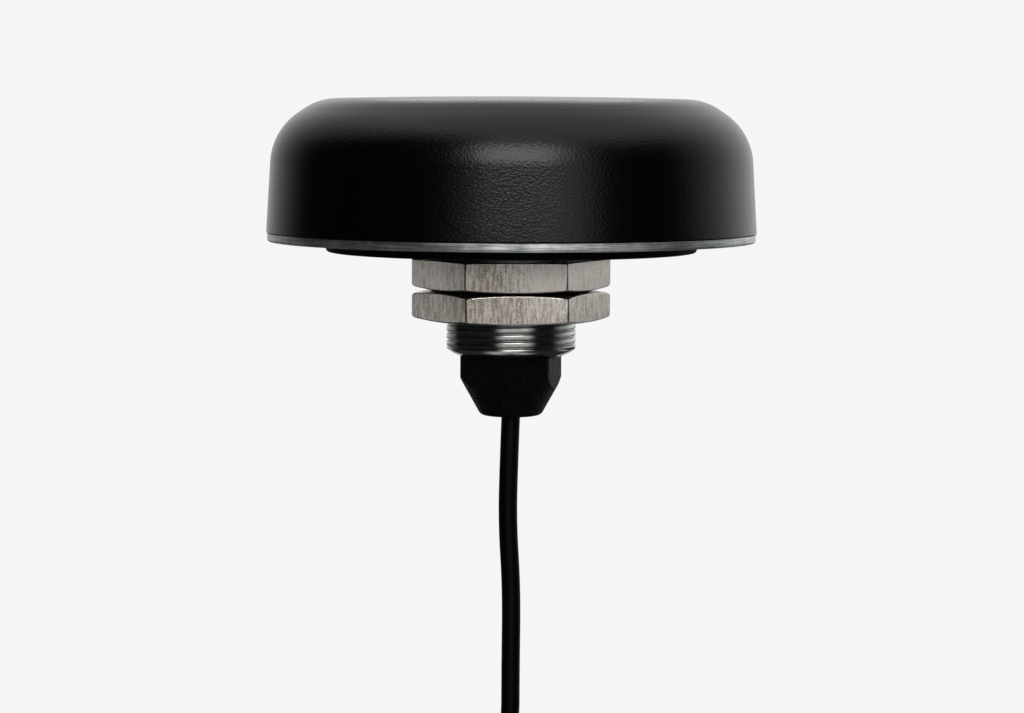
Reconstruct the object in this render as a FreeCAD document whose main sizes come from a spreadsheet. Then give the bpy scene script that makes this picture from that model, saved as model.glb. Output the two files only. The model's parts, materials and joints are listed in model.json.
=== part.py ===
"""A satellite positioning receiver in a puck housing, for a panel with one 18.5 mm hole.

Millimetres. The origin is on the stem's axis, in the plane of the panel's outer face, where
the base gasket's underside rests. +Z runs up through the radome, and the stem, the two jam
nuts, the cable gland and the cable hang below the panel, along -Z.
"""

import FreeCAD, Part
import math
import os
import re

import Sketcher
from FreeCAD import Placement, Rotation, Vector

SIZES = {
    # radome: one moulded shell
    "radome_radius": 33.9,
    "radome_wall": 2.2,
    "side_draft": 3.5,
    "shoulder_drop": 4.4,
    "shoulder_lean": 55.3,
    "shoulder_round": 8.7,
    "roof_clearance": 2.08,
    "crown_rise": 0.38,
    "crown_round": 8.0,
    "skirt_wall": 2.45,
    "skirt_margin": 0.85,
    "skirt_round": 0.25,
    "boss_circle_radius": 22.0,
    "boss_radius": 3.0,
    "boss_clearance": 0.05,
    "pilot_spare": 1.2,
    "rib_thickness": 1.2,
    "rib_clearance": 1.4,
    "rib_shoulder_drop": 1.4,
    # base plate: a plated casting
    "plate_inset": 0.15,
    "rim_height": 1.13,
    "rim_round": 0.35,
    "spigot_clearance": 0.15,
    "spigot_height": 2.75,
    "groove_depth": 1.1,
    "groove_height": 1.5,
    "groove_offset": 0.55,
    "land_margin": 0.35,
    "land_lift": 0.25,
    "standoff_height": 4.8,
    "standoff_radius": 2.2,
    "counterbore_depth": 1.6,
    "fit_clearance": 0.05,
    # gasket between the plate and the panel
    "gasket_show": 1.32,
    "gasket_seat": 0.68,
    "gasket_radius": 25.7,
    "gasket_round": 0.4,
    # seal ring between the spigot and the skirt
    "seal_gap": 0.04,
    # threaded stem
    "stem_radius": 9.0,
    "stem_length": 14.55,
    "stem_head_lip": 1.0,
    "stem_head_height": 2.4,
    "stem_passage_radius": 4.6,
    "stem_socket_depth": 10.05,
    "stem_end_step": 1.9,
    "stem_end_height": 0.8,
    "stem_end_round": 0.8,
    # lock washer and the two jam nuts
    "washer_thickness": 1.1,
    "washer_width": 2.1,
    "washer_band": 1.0,
    "washer_tooth_gap": 1.7,
    "washer_teeth": 12,
    "nut_wall": 3.0,
    "nut_height": 4.3,
    "nut_face_inset": 0.65,
    "nut_chamfer": 12.0,
    "nut_corner_round": 0.3,
    "nut_clearance": 0.04,
    "nut_countersink": 0.55,
    "upper_nut_turn": 3.3,
    "lower_nut_turn": 4.0,
    # cable gland
    "gland_socket_radius": 6.0,
    "gland_shoulder": 1.0,
    "gland_neck_length": 4.65,
    "gland_neck_wall": 1.35,
    "gland_seat_depth": 2.45,
    "gland_ring_section": 0.7,
    "seal_sleeve_length": 7.1,
    "seal_sleeve_grip": 0.02,
    "cap_turn": 14.4,
    "cap_wall": 1.375,
    "cap_corner_round": 0.8,
    "cap_nose_height": 3.7,
    "cap_gap": 0.05,
    "cap_nose_width": 1.25,
    "cap_nose_round": 1.0,
    "cap_cone": 29.2,
    "cap_cone_height": 6.0,
    "cap_bore_clearance": 0.4,
    "cap_floor": 0.9,
    "clamp_clearance": 0.06,
    "clamp_wall": 0.58,
    "clamp_collar_step": 0.45,
    "clamp_collar_height": 0.6,
    "clamp_tip_gap": 0.1,
    "clamp_slot_width": 0.5,
    "clamp_slot_length": 5.0,
    "clamp_fingers": 8,
    # board and what it carries
    "board_edge_gap": 0.95,
    "board_thickness": 1.6,
    "board_hole_clearance": 0.3,
    "board_screw_margin": 3.2,
    "patch_side": 25.0,
    "patch_height": 4.0,
    "patch_corner": 0.8,
    "pad_height": 0.5,
    "pad_margin": 0.6,
    "electrode_side": 21.0,
    "electrode_cut": 2.0,
    "electrode_height": 0.1,
    "feed_offset": 2.4,
    "feed_radius": 0.5,
    "feed_head_radius": 1.0,
    "feed_head_height": 0.4,
    "feed_tail": 0.8,
    "shield_length": 13.0,
    "shield_width": 9.0,
    "shield_height": 2.4,
    "shield_sheet": 0.2,
    "shield_inset": 4.0,
    "module_length": 16.0,
    "module_width": 12.2,
    "module_height": 2.4,
    "carrier_height": 0.8,
    "carrier_margin": 0.8,
    "module_gap": 1.0,
    "cell_radius": 3.4,
    "cell_height": 2.1,
    "cell_gap": 4.1,
    "socket_length": 7.6,
    "socket_depth": 4.4,
    "socket_height": 3.0,
    "socket_wall": 0.5,
    "socket_offset": 13.6,
    "plug_reach": 3.0,
    "plug_gap": 0.05,
    # fasteners
    "fixing_count": 4,
    "screw_radius": 1.25,
    "screw_clearance": 0.1,
    "screw_head_radius": 2.2,
    "screw_head_height": 1.4,
    "screw_recess_flats": 1.5,
    "screw_recess_depth": 0.8,
    "housing_screw_length": 9.0,
    "board_screw_length": 5.0,
    # cable
    "cable_radius": 1.3,
    "lead_count": 4,
    "lead_radius": 0.28,
    "lead_pitch": 0.6,
    "lead_spread": 1.25,
    "lead_bend": 2.0,
    "cable_end_level": 3.0,
    # coil of spare cable, its ties and the plug
    "coil_mid_radius": 15.5,
    "coil_pitch": 2.65,
    "coil_layers": 4,
    "coil_rows": 8,
    "coil_top_level": 110.0,
    "coil_centre_side": 1.4,
    "coil_corner_round": 1.2,
    "tie_count": 2,
    "tie_width": 4.0,
    "tie_sheet": 0.9,
    "tie_clearance": 0.3,
    "tail_length": 14.0,
    "boot_radius": 2.1,
    "boot_length": 10.0,
    "boot_inset": 0.4,
    "boot_overlap": 1.0,
    "mould_width": 15.6,
    "mould_thickness": 7.6,
    "mould_length": 22.0,
    "mould_round": 2.4,
    "shell_width": 12.0,
    "shell_thickness": 4.5,
    "shell_length": 18.75,
    "shell_sheet": 0.3,
    "shell_seat": 5.0,
    "shell_clearance": 0.03,
    "window_width": 2.2,
    "window_height": 2.4,
    "window_spacing": 5.2,
    "window_inset": 8.6,
    "tongue_thickness": 1.9,
    "tongue_inset": 1.2,
    "contact_width": 1.0,
    "inner_contact_side": 1.0,
    "outer_contact_side": 3.5,
    "contact_sheet": 0.15,
    "contact_inset": 1.0,
    "contact_length": 8.0,
}

doc = FreeCAD.newDocument("positioning_receiver")
sheet = doc.addObject("Spreadsheet::Sheet", "Sizes")
for row, (alias, value) in enumerate(SIZES.items(), start=1):
    sheet.set(f"A{row}", alias)
    sheet.set(f"B{row}", str(value))
    sheet.setAlias(f"B{row}", alias)
doc.recompute()

# Levels and radii that several pieces share, as formulas of the sheet's cells.
SEAM = "(gasket_show + rim_height)"
DECK = f"({SEAM} + spigot_height)"
SEAT = "(gasket_show + gasket_seat)"
BOARD = f"({DECK} + standoff_height)"
BOARD_TOP = f"({BOARD} + board_thickness)"
PLATE_RADIUS = "(radome_radius - plate_inset)"
SKIRT_RADIUS = "(radome_radius - skirt_wall)"
SPIGOT_RADIUS = f"({SKIRT_RADIUS} - spigot_clearance)"
GROOVE_FLOOR = f"({SPIGOT_RADIUS} - groove_depth)"
GROOVE_BASE = f"({SEAM} + groove_offset)"
STEM_BORE = "(stem_radius + fit_clearance)"
STEM_HEAD_FLATS = "(2 * (stem_radius + stem_head_lip))"
STEM_HEAD_BASE = f"({DECK} - stem_head_height)"
NUT_FLATS = "(2 * (stem_radius + nut_wall))"
NUT_CORNER = f"({NUT_FLATS} / sqrt(3))"
NUT_FACE_RADIUS = f"({NUT_FLATS} / 2 - nut_face_inset)"
WASHER_RADIUS = "(stem_radius + washer_width)"
LAND_RADIUS = f"({NUT_CORNER} + land_margin)"
UPPER_NUT_TOP = "(0 - washer_thickness)"
LOWER_NUT_TOP = f"({UPPER_NUT_TOP} - nut_height)"
SOCKET_TOP = "(stem_socket_depth - stem_length)"
GLAND_TOP = f"({SOCKET_TOP} - 2 * gland_ring_section)"
NECK_RADIUS = "(gland_socket_radius - gland_shoulder)"
NECK_END = "(0 - stem_length - gland_neck_length)"
NECK_BORE = f"({NECK_RADIUS} - gland_neck_wall)"
GLAND_SEAT = "(gland_seat_depth - stem_length)"
SLEEVE_RADIUS = f"({NECK_BORE} - 2 * clamp_clearance - clamp_wall)"
CABLE_BORE = "(cable_radius + cap_bore_clearance)"
CAP_TOP = "(0 - stem_length - cap_gap)"
CAP_END = f"({NECK_END} - cap_nose_height)"
CAP_NOSE_RADIUS = f"({SLEEVE_RADIUS} + cap_nose_width)"
COLLAR_RADIUS = f"({NECK_RADIUS} - clamp_collar_step)"
COLLAR_TOP = f"({NECK_END} - clamp_clearance)"
COLLAR_END = f"({COLLAR_TOP} - clamp_collar_height)"
PATCH_BASE = f"({BOARD_TOP} + pad_height)"
PATCH_TOP = f"({PATCH_BASE} + patch_height)"
FEED_TOP = f"({PATCH_TOP} + electrode_height + feed_head_height)"
ROOF = f"({FEED_TOP} + roof_clearance)"
CROWN = f"({ROOF} + radome_wall)"
SHOULDER = f"({CROWN} - shoulder_drop)"
SHOULDER_RADIUS = f"(radome_radius - tan(side_draft) * ({SHOULDER} - {SEAM}))"
CROWN_RADIUS = f"({SHOULDER_RADIUS} - tan(shoulder_lean) * shoulder_drop)"
INNER_SHOULDER = f"({SHOULDER} - radome_wall * tan((shoulder_lean - side_draft) / 2))"
INNER_SHOULDER_RADIUS = (
    f"(radome_radius - radome_wall - tan(side_draft) * ({INNER_SHOULDER} - {SEAM}))"
)
ROOF_RADIUS = f"({INNER_SHOULDER_RADIUS} - tan(shoulder_lean) * ({ROOF} - {INNER_SHOULDER}))"
COUNTERBORE_TOP = f"({SEAT} + counterbore_depth)"
PILOT_DEPTH = f"({COUNTERBORE_TOP} + housing_screw_length + pilot_spare - {DECK})"
WALL_AT_BOARD = f"(radome_radius - radome_wall - tan(side_draft) * ({BOARD_TOP} - {SEAM}))"
BOARD_RADIUS = f"({WALL_AT_BOARD} - board_edge_gap)"
BOARD_SCREW_CIRCLE = f"({BOARD_RADIUS} - board_screw_margin)"
SHIELD_OFFSET = "(shield_length / 2 + shield_inset)"
MODULE_OFFSET = "(shield_width / 2 + module_gap + module_width / 2)"
CELL_OFFSET = "(shield_width / 2 + cell_gap + cell_radius)"
COIL_HALF_DEPTH = "(coil_layers * coil_pitch / 2)"
COIL_HALF_WIDTH = "(coil_rows * coil_pitch / 2)"
COIL_OUTER = f"(coil_mid_radius + {COIL_HALF_DEPTH})"
COIL_INNER = f"(coil_mid_radius - {COIL_HALF_DEPTH})"
COIL_CENTRE = f"(coil_pitch / 2 - {COIL_OUTER} - coil_top_level)"

pieces = {}


def number(formula):
    """The value of a formula of the sheet's cells."""
    return float(sheet.evalExpression(str(formula)))


def cells(formula):
    """The same formula, as another object of the document writes it."""
    named = lambda word: f"Sizes.{word.group(0)}" if word.group(0) in SIZES else word.group(0)
    return re.sub(r"[a-z_]\w*", named, str(formula))


def bind(thing, prop, formula):
    thing.setExpression(prop, cells(formula))


# --- sketches -----------------------------------------------------------------------------


def new_body(label):
    body = doc.addObject("PartDesign::Body", label)
    body.Label = label
    pieces[label] = body
    return body


def new_sketch(body, name, role="XY_Plane", level=None):
    plane = next(item for item in body.Origin.OriginFeatures if item.Role == role)
    sketch = body.newObject("Sketcher::SketchObject", name)
    sketch.AttachmentSupport = [(plane, "")]
    sketch.MapMode = "FlatFace"
    if level is not None:
        bind(sketch, "AttachmentOffset.Base.z", level)
    return sketch


def pin_point(sketch, edge, end, x, y):
    """Dimensions from the sketch's origin that hold one point."""
    for kind, formula in (("DistanceX", x), ("DistanceY", y)):
        rule = Sketcher.Constraint(kind, -1, 1, edge, end, number(formula))
        bind(sketch, f"Constraints[{sketch.addConstraint(rule)}]", formula)


def draw_outline(sketch, corners):
    """A closed outline. A corner (x, y, radius) starts an arc, with its centre on the left."""
    first = sketch.GeometryCount
    spots = [Vector(number(corner[0]), number(corner[1]), 0) for corner in corners]
    count = len(corners)
    for index, corner in enumerate(corners):
        start, end = spots[index], spots[(index + 1) % count]
        if len(corner) == 2:
            sketch.addGeometry(Part.LineSegment(start, end), False)
            continue
        radius = number(corner[2])
        chord = end - start
        to_centre = Vector(-chord.y, chord.x, 0).normalize()
        rise = math.sqrt(radius**2 - chord.Length**2 / 4)
        centre = start + chord * 0.5 + to_centre * rise
        circle = Part.Circle(centre, Vector(0, 0, 1), radius)
        angles = [math.atan2(spot.y - centre.y, spot.x - centre.x) for spot in (start, end)]
        sketch.addGeometry(Part.ArcOfCircle(circle, *angles), False)
        rule = Sketcher.Constraint("Radius", first + index, radius)
        bind(sketch, f"Constraints[{sketch.addConstraint(rule)}]", corner[2])
    for index in range(count):
        following = first + (index + 1) % count
        sketch.addConstraint(Sketcher.Constraint("Coincident", first + index, 2, following, 1))
    for index, corner in enumerate(corners):
        pin_point(sketch, first + index, 1, corner[0], corner[1])


def draw_box(sketch, width, height, x="0", y="0"):
    """A rectangle centred on (x, y)."""
    left, right = f"({x}) - ({width}) / 2", f"({x}) + ({width}) / 2"
    low, high = f"({y}) - ({height}) / 2", f"({y}) + ({height}) / 2"
    draw_outline(sketch, [(left, low), (right, low), (right, high), (left, high)])


def draw_hexagon(sketch, flats, turn="0"):
    """A hexagon about the origin, with a corner at the angle turn from the x axis."""
    corner = f"({flats}) / sqrt(3)"
    steps = range(0, 360, 60)
    spots = [(f"{corner} * cos({step} + {turn})", f"{corner} * sin({step} + {turn})") for step in steps]
    draw_outline(sketch, spots)


def draw_circle(sketch, radius, x="0", y="0"):
    centre = Vector(number(x), number(y), 0)
    edge = sketch.addGeometry(Part.Circle(centre, Vector(0, 0, 1), number(radius)), False)
    pin_point(sketch, edge, 3, x, y)
    rule = Sketcher.Constraint("Radius", edge, number(radius))
    bind(sketch, f"Constraints[{sketch.addConstraint(rule)}]", radius)


# --- features -----------------------------------------------------------------------------


def turned(body, name, corners, kind="PartDesign::Revolution"):
    """A profile of (radius, level) corners, turned once about the body's Z axis."""
    sketch = new_sketch(body, f"{name}_profile", "XZ_Plane")
    draw_outline(sketch, corners)
    feature = body.newObject(kind, name)
    feature.Profile = sketch
    feature.ReferenceAxis = (sketch, ["V_Axis"])
    feature.Angle = 360
    doc.recompute()
    return feature


def groove(body, name, corners):
    return turned(body, name, corners, "PartDesign::Groove")


def pad(body, name, sketch, length, downward=False, both_ways=False):
    feature = body.newObject("PartDesign::Pad", name)
    feature.Profile = sketch
    bind(feature, "Length", length)
    feature.Reversed = downward
    feature.Midplane = both_ways
    doc.recompute()
    return feature


def pocket(body, name, sketch, depth, upward=False):
    """A cut below the sketch's plane, or above it."""
    before = body.Shape.Volume
    feature = body.newObject("PartDesign::Pocket", name)
    feature.Profile = sketch
    bind(feature, "Length", depth)
    feature.Reversed = upward
    doc.recompute()
    if not feature.Shape.Volume < before:
        raise RuntimeError(f"{body.Label}: {name} cuts nothing")
    return feature


def repeat(body, name, features, count, role="Z_Axis"):
    """Copies of the features, evenly spaced about one of the body's axes."""
    axis = next(item for item in body.Origin.OriginFeatures if item.Role == role)
    pattern = body.newObject("PartDesign::PolarPattern", name)
    pattern.Originals = features
    pattern.Axis = (axis, [""])
    pattern.Angle = 360
    bind(pattern, "Occurrences", count)
    body.Tip = pattern
    doc.recompute()
    return pattern


def dress(body, name, kind, edges, size):
    """A fillet or chamfer along the named edges of the body's latest feature."""
    if not edges:
        raise RuntimeError(f"{body.Label}: {name} finds no edge")
    base = body.Tip
    feature = body.newObject(f"PartDesign::{kind}", name)
    feature.Base = (base, edges)
    bind(feature, "Radius" if kind == "Fillet" else "Size", size)
    doc.recompute()
    return feature


def edges_of(body, kind):
    """The body's edges of one kind of curve, with their names. A pole's edge has no curve."""
    for index, edge in enumerate(body.Shape.Edges, start=1):
        if not edge.Degenerated and isinstance(edge.Curve, kind):
            yield f"Edge{index}", edge


def rings_at(body, *spots):
    """The edges of the body that are circles about Z, at each (radius, level)."""
    wanted = [(number(radius), number(level)) for radius, level in spots]
    found = []
    for name, edge in edges_of(body, Part.Circle):
        curve = edge.Curve
        if abs(curve.Axis.z) < 0.999 or math.hypot(curve.Center.x, curve.Center.y) > 1e-4:
            continue
        for radius, level in wanted:
            if abs(curve.Radius - radius) < 1e-3 and abs(curve.Center.z - level) < 1e-3:
                found.append(name)
    return found


def upright_edges(body, beyond):
    """The straight edges of the body along Z that lie further than that from the axis."""
    found = []
    for name, edge in edges_of(body, Part.Line):
        middle = edge.CenterOfMass
        if abs(edge.Curve.Direction.z) > 0.999 and math.hypot(middle.x, middle.y) > beyond:
            found.append(name)
    return found


def placed(body, x, y, z, turn=None):
    """The body's own place: its origin, and an optional turn (axis, degrees)."""
    if turn is not None:
        body.Placement = Placement(Vector(), Rotation(*turn))
    for letter, formula in zip("xyz", (x, y, z)):
        bind(body, f"Placement.Base.{letter}", formula)
    doc.recompute()


# --- tubes --------------------------------------------------------------------------------


def bent_line(points, bend=None):
    """Straight runs joined by tangent arcs. Without bend, each arc is as large as its runs allow."""
    arcs = []
    for before, corner, after in zip(points, points[1:], points[2:]):
        into, out = (corner - before).normalize(), (after - corner).normalize()
        half_turn = into.getAngle(out) / 2
        shorter = min((corner - before).Length, (after - corner).Length)
        radius = bend or 0.45 * shorter / math.tan(half_turn)
        reach = radius * math.tan(half_turn)
        to_centre = (out - into).normalize() * (radius / math.cos(half_turn))
        middle = corner + to_centre - (out - into).normalize() * radius
        arcs.append((corner - into * reach, middle, corner + out * reach, radius))
    edges = []
    here = points[0]
    for start, middle, end, _ in arcs:
        edges.append(Part.LineSegment(here, start).toShape())
        edges.append(Part.Arc(start, middle, end).toShape())
        here = end
    edges.append(Part.LineSegment(here, points[-1]).toShape())
    return Part.Wire(edges), [arc[3] for arc in arcs]


def swept(points, radius, bend=None):
    """A round tube along the points, checked by its volume."""
    line, radii = bent_line(points, bend)
    heading = points[1] - points[0]
    section = Part.Wire(Part.Circle(points[0], heading, radius).toShape())
    tube = line.makePipeShell([section], True, False)
    expected = math.pi * radius**2 * line.Length
    if abs(tube.Volume / expected - 1) > 0.01:
        raise RuntimeError(f"a tube holds {tube.Volume:.1f} mm3 and should hold {expected:.1f}")
    return tube, line.Length, radii


def shape_piece(label, shape):
    feature = doc.addObject("Part::Feature", label)
    feature.Label = label
    feature.Shape = shape
    feature.Placement = Placement()
    pieces[label] = feature
    return feature


# --- housing ------------------------------------------------------------------------------


def make_radome():
    body = new_body("radome")
    crown_radius = f"({CROWN_RADIUS}^2 + crown_rise^2) / (2 * crown_rise)"
    turned(
        body,
        "outside",
        [
            ("0", SEAM),
            ("radome_radius", SEAM),
            (SHOULDER_RADIUS, SHOULDER),
            (CROWN_RADIUS, CROWN, crown_radius),
            ("0", f"{CROWN} + crown_rise"),
        ],
    )
    shoulder = rings_at(body, (SHOULDER_RADIUS, SHOULDER))
    dress(body, "shoulder", "Fillet", shoulder, "shoulder_round")
    crown = rings_at(body, (CROWN_RADIUS, CROWN))
    dress(body, "crown", "Fillet", crown, "crown_round")
    dress(body, "lip", "Fillet", rings_at(body, ("radome_radius", SEAM)), "skirt_round")
    skirt_top = f"({DECK} + skirt_margin)"
    groove(
        body,
        "inside",
        [
            ("0", SEAM),
            (SKIRT_RADIUS, SEAM),
            (SKIRT_RADIUS, skirt_top),
            (INNER_SHOULDER_RADIUS, INNER_SHOULDER),
            (ROOF_RADIUS, ROOF),
            ("0", ROOF),
        ],
    )
    inner_shoulder = rings_at(body, (INNER_SHOULDER_RADIUS, INNER_SHOULDER))
    dress(body, "inner_shoulder", "Fillet", inner_shoulder, "shoulder_round - radome_wall")
    post_sketch = new_sketch(body, "post_circle", level=f"{DECK} + boss_clearance")
    draw_circle(post_sketch, "boss_radius", "boss_circle_radius")
    wall_middle = "radome_wall / 2"
    post_height = f"{ROOF} + {wall_middle} - {DECK} - boss_clearance"
    post = pad(body, "post", post_sketch, post_height)
    rib_sketch = new_sketch(body, "rib_outline", "XZ_Plane")
    rib_base = f"{BOARD_TOP} + rib_clearance"
    draw_outline(
        rib_sketch,
        [
            ("boss_circle_radius", rib_base),
            (f"{INNER_SHOULDER_RADIUS} + {wall_middle}", rib_base),
            (f"{INNER_SHOULDER_RADIUS} + {wall_middle}", f"{INNER_SHOULDER} - rib_shoulder_drop"),
            (ROOF_RADIUS, f"{ROOF} + {wall_middle}"),
            ("boss_circle_radius", f"{ROOF} + {wall_middle}"),
        ],
    )
    rib = pad(body, "rib", rib_sketch, "rib_thickness", both_ways=True)
    pilot_sketch = new_sketch(body, "pilot_circle", level=f"{DECK} + boss_clearance")
    draw_circle(pilot_sketch, "screw_radius + fit_clearance", "boss_circle_radius")
    pilot = pocket(body, "pilot", pilot_sketch, PILOT_DEPTH, upward=True)
    repeat(body, "posts", [post, rib, pilot], "fixing_count")


def make_base_plate():
    body = new_body("base_plate")
    turned(
        body,
        "casting",
        [
            (STEM_BORE, "land_lift"),
            (LAND_RADIUS, "land_lift"),
            (LAND_RADIUS, SEAT),
            ("gasket_radius + fit_clearance", SEAT),
            ("gasket_radius + fit_clearance", "gasket_show"),
            (PLATE_RADIUS, "gasket_show"),
            (PLATE_RADIUS, SEAM),
            (SPIGOT_RADIUS, SEAM),
            (SPIGOT_RADIUS, GROOVE_BASE),
            (GROOVE_FLOOR, GROOVE_BASE),
            (GROOVE_FLOOR, f"{GROOVE_BASE} + groove_height"),
            (SPIGOT_RADIUS, f"{GROOVE_BASE} + groove_height"),
            (SPIGOT_RADIUS, DECK),
            (STEM_BORE, DECK),
        ],
    )
    dress(body, "rim", "Fillet", rings_at(body, (PLATE_RADIUS, "gasket_show")), "rim_round")
    head_sketch = new_sketch(body, "head_hexagon", level=DECK)
    draw_hexagon(head_sketch, f"({STEM_HEAD_FLATS} + 2 * fit_clearance)")
    pocket(body, "head_seat", head_sketch, "stem_head_height")
    post_sketch = new_sketch(body, "standoff_circle", level=DECK)
    across = f"{BOARD_SCREW_CIRCLE} / sqrt(2)"
    draw_circle(post_sketch, "standoff_radius", across, across)
    post = pad(body, "standoff", post_sketch, "standoff_height")
    tapped_sketch = new_sketch(body, "tapped_circle", level=BOARD)
    draw_circle(tapped_sketch, "screw_radius + fit_clearance", across, across)
    tapped = pocket(body, "tapped_hole", tapped_sketch, "board_screw_length")
    bore_sketch = new_sketch(body, "counterbore_circle", level=SEAT)
    head_hole = "screw_head_radius + screw_clearance"
    draw_circle(bore_sketch, head_hole, "boss_circle_radius")
    bore = pocket(body, "counterbore", bore_sketch, "counterbore_depth", upward=True)
    hole_sketch = new_sketch(body, "screw_circle", level=SEAT)
    draw_circle(hole_sketch, "screw_radius + screw_clearance", "boss_circle_radius")
    hole = pocket(body, "screw_hole", hole_sketch, f"{DECK} - {SEAT}", upward=True)
    repeat(body, "fixings", [post, tapped, bore, hole], "fixing_count")


def make_gasket():
    body = new_body("base_gasket")
    inner = f"{LAND_RADIUS} + fit_clearance"
    turned(
        body,
        "ring",
        [(inner, "0"), ("gasket_radius", "0"), ("gasket_radius", SEAT), (inner, SEAT)],
    )
    dress(body, "edge", "Fillet", rings_at(body, ("gasket_radius", "0")), "gasket_round")


def make_radome_seal():
    """A round ring that fills the groove's depth between the spigot and the skirt."""
    seal = doc.addObject("Part::Torus", "radome_seal")
    seal.Label = "radome_seal"
    bind(seal, "Radius1", f"({SKIRT_RADIUS} + {GROOVE_FLOOR}) / 2")
    bind(seal, "Radius2", f"({SKIRT_RADIUS} - {GROOVE_FLOOR}) / 2 - seal_gap")
    bind(seal, "Placement.Base.z", f"{GROOVE_BASE} + groove_height / 2")
    pieces["radome_seal"] = seal


def make_screws(label, circle, first_angle, seat, length, head_below):
    """Four cap screws on a circle. A head below its seat points the shank up."""
    body = new_body(label)
    x, y = f"{circle} * cos({first_angle})", f"{circle} * sin({first_angle})"
    head_sketch = new_sketch(body, "head_circle", level=seat)
    draw_circle(head_sketch, "screw_head_radius", x, y)
    head = pad(body, "head", head_sketch, "screw_head_height", downward=head_below)
    shank_sketch = new_sketch(body, "shank_circle", level=seat)
    draw_circle(shank_sketch, "screw_radius", x, y)
    shank = pad(body, "shank", shank_sketch, length, downward=not head_below)
    side = "-" if head_below else "+"
    drive_sketch = new_sketch(body, "drive_hexagon", level=f"{seat} {side} screw_head_height")
    corner = "screw_recess_flats / sqrt(3)"
    angles = range(0, 360, 60)
    spots = [(f"{x} + {corner} * cos({angle})", f"{y} + {corner} * sin({angle})") for angle in angles]
    draw_outline(drive_sketch, spots)
    drive = pocket(body, "drive", drive_sketch, "screw_recess_depth", upward=head_below)
    repeat(body, "set", [head, shank, drive], "fixing_count")


# --- stem, nuts and washer ----------------------------------------------------------------


def make_stem():
    body = new_body("threaded_stem")
    end = "(0 - stem_length)"
    turned(
        body,
        "shank",
        [
            ("stem_passage_radius", DECK),
            ("stem_passage_radius", SOCKET_TOP),
            ("gland_socket_radius", SOCKET_TOP),
            ("gland_socket_radius", end),
            ("stem_radius - stem_end_step", end),
            ("stem_radius", f"{end} + stem_end_height"),
            ("stem_radius", DECK),
        ],
    )
    corner = rings_at(body, ("stem_radius", f"{end} + stem_end_height"))
    dress(body, "end_round", "Fillet", corner, "stem_end_round")
    head_sketch = new_sketch(body, "head_hexagon", level=STEM_HEAD_BASE)
    draw_hexagon(head_sketch, STEM_HEAD_FLATS)
    draw_circle(head_sketch, "(stem_radius + stem_passage_radius) / 2")
    pad(body, "head", head_sketch, "stem_head_height")


def make_washer():
    """A flat lock washer with teeth on its inner edge."""
    body = new_body("lock_washer")
    ring_sketch = new_sketch(body, "ring_circles")
    draw_circle(ring_sketch, WASHER_RADIUS)
    draw_circle(ring_sketch, "stem_radius + 2 * fit_clearance")
    pad(body, "ring", ring_sketch, "washer_thickness", downward=True)
    gap_sketch = new_sketch(body, "gap_outline")
    gap_length = "(washer_width - washer_band + 1)"
    gap_middle = f"{WASHER_RADIUS} - washer_band - {gap_length} / 2"
    draw_box(gap_sketch, gap_length, "washer_tooth_gap", gap_middle)
    gap = pocket(body, "gap", gap_sketch, "washer_thickness")
    repeat(body, "gaps", [gap], "washer_teeth")


def make_nut(label, top, turn):
    """A thin hexagon nut, chamfered on both faces, with a plain bore in place of its thread."""
    body = new_body(label)
    outline = new_sketch(body, "hexagon", level=top)
    draw_hexagon(outline, NUT_FLATS, turn)
    pad(body, "blank", outline, "nut_height", downward=True)
    dress(body, "corners", "Fillet", upright_edges(body, 0), "nut_corner_round")
    bottom = f"({top} - nut_height)"
    drop = f"tan(nut_chamfer) * ({NUT_CORNER} - {NUT_FACE_RADIUS})"
    upper = [(NUT_FACE_RADIUS, top), (NUT_CORNER, f"{top} - {drop}"), (NUT_CORNER, top)]
    lower = [(NUT_FACE_RADIUS, bottom), (NUT_CORNER, bottom), (NUT_CORNER, f"{bottom} + {drop}")]
    groove(body, "upper_chamfer", upper)
    groove(body, "lower_chamfer", lower)
    bore = "(stem_radius + nut_clearance)"
    groove(
        body,
        "bore",
        [
            ("0", top),
            ("0", bottom),
            (f"{bore} + nut_countersink", bottom),
            (bore, f"{bottom} + nut_countersink"),
            (bore, f"{top} - nut_countersink"),
            (f"{bore} + nut_countersink", top),
        ],
    )


# --- cable gland --------------------------------------------------------------------------


def make_gland_body():
    body = new_body("gland_body")
    turned(
        body,
        "tube",
        [
            (CABLE_BORE, GLAND_TOP),
            (CABLE_BORE, GLAND_SEAT),
            (NECK_BORE, GLAND_SEAT),
            (NECK_BORE, NECK_END),
            (NECK_RADIUS, NECK_END),
            (NECK_RADIUS, "0 - stem_length"),
            ("gland_socket_radius - fit_clearance", "0 - stem_length"),
            ("gland_socket_radius - fit_clearance", GLAND_TOP),
        ],
    )


def make_gland_ring():
    ring = doc.addObject("Part::Torus", "gland_ring")
    ring.Label = "gland_ring"
    bind(ring, "Radius1", "gland_socket_radius - gland_ring_section - fit_clearance")
    bind(ring, "Radius2", "gland_ring_section")
    bind(ring, "Placement.Base.z", f"{SOCKET_TOP} - gland_ring_section")
    pieces["gland_ring"] = ring


def make_gland_seal():
    body = new_body("gland_seal")
    top = f"({GLAND_SEAT} - clamp_clearance)"
    bottom = f"({top} - seal_sleeve_length)"
    bore = "cable_radius + seal_sleeve_grip"
    sleeve = [(bore, top), (bore, bottom), (SLEEVE_RADIUS, bottom), (SLEEVE_RADIUS, top)]
    turned(body, "sleeve", sleeve)


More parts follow.
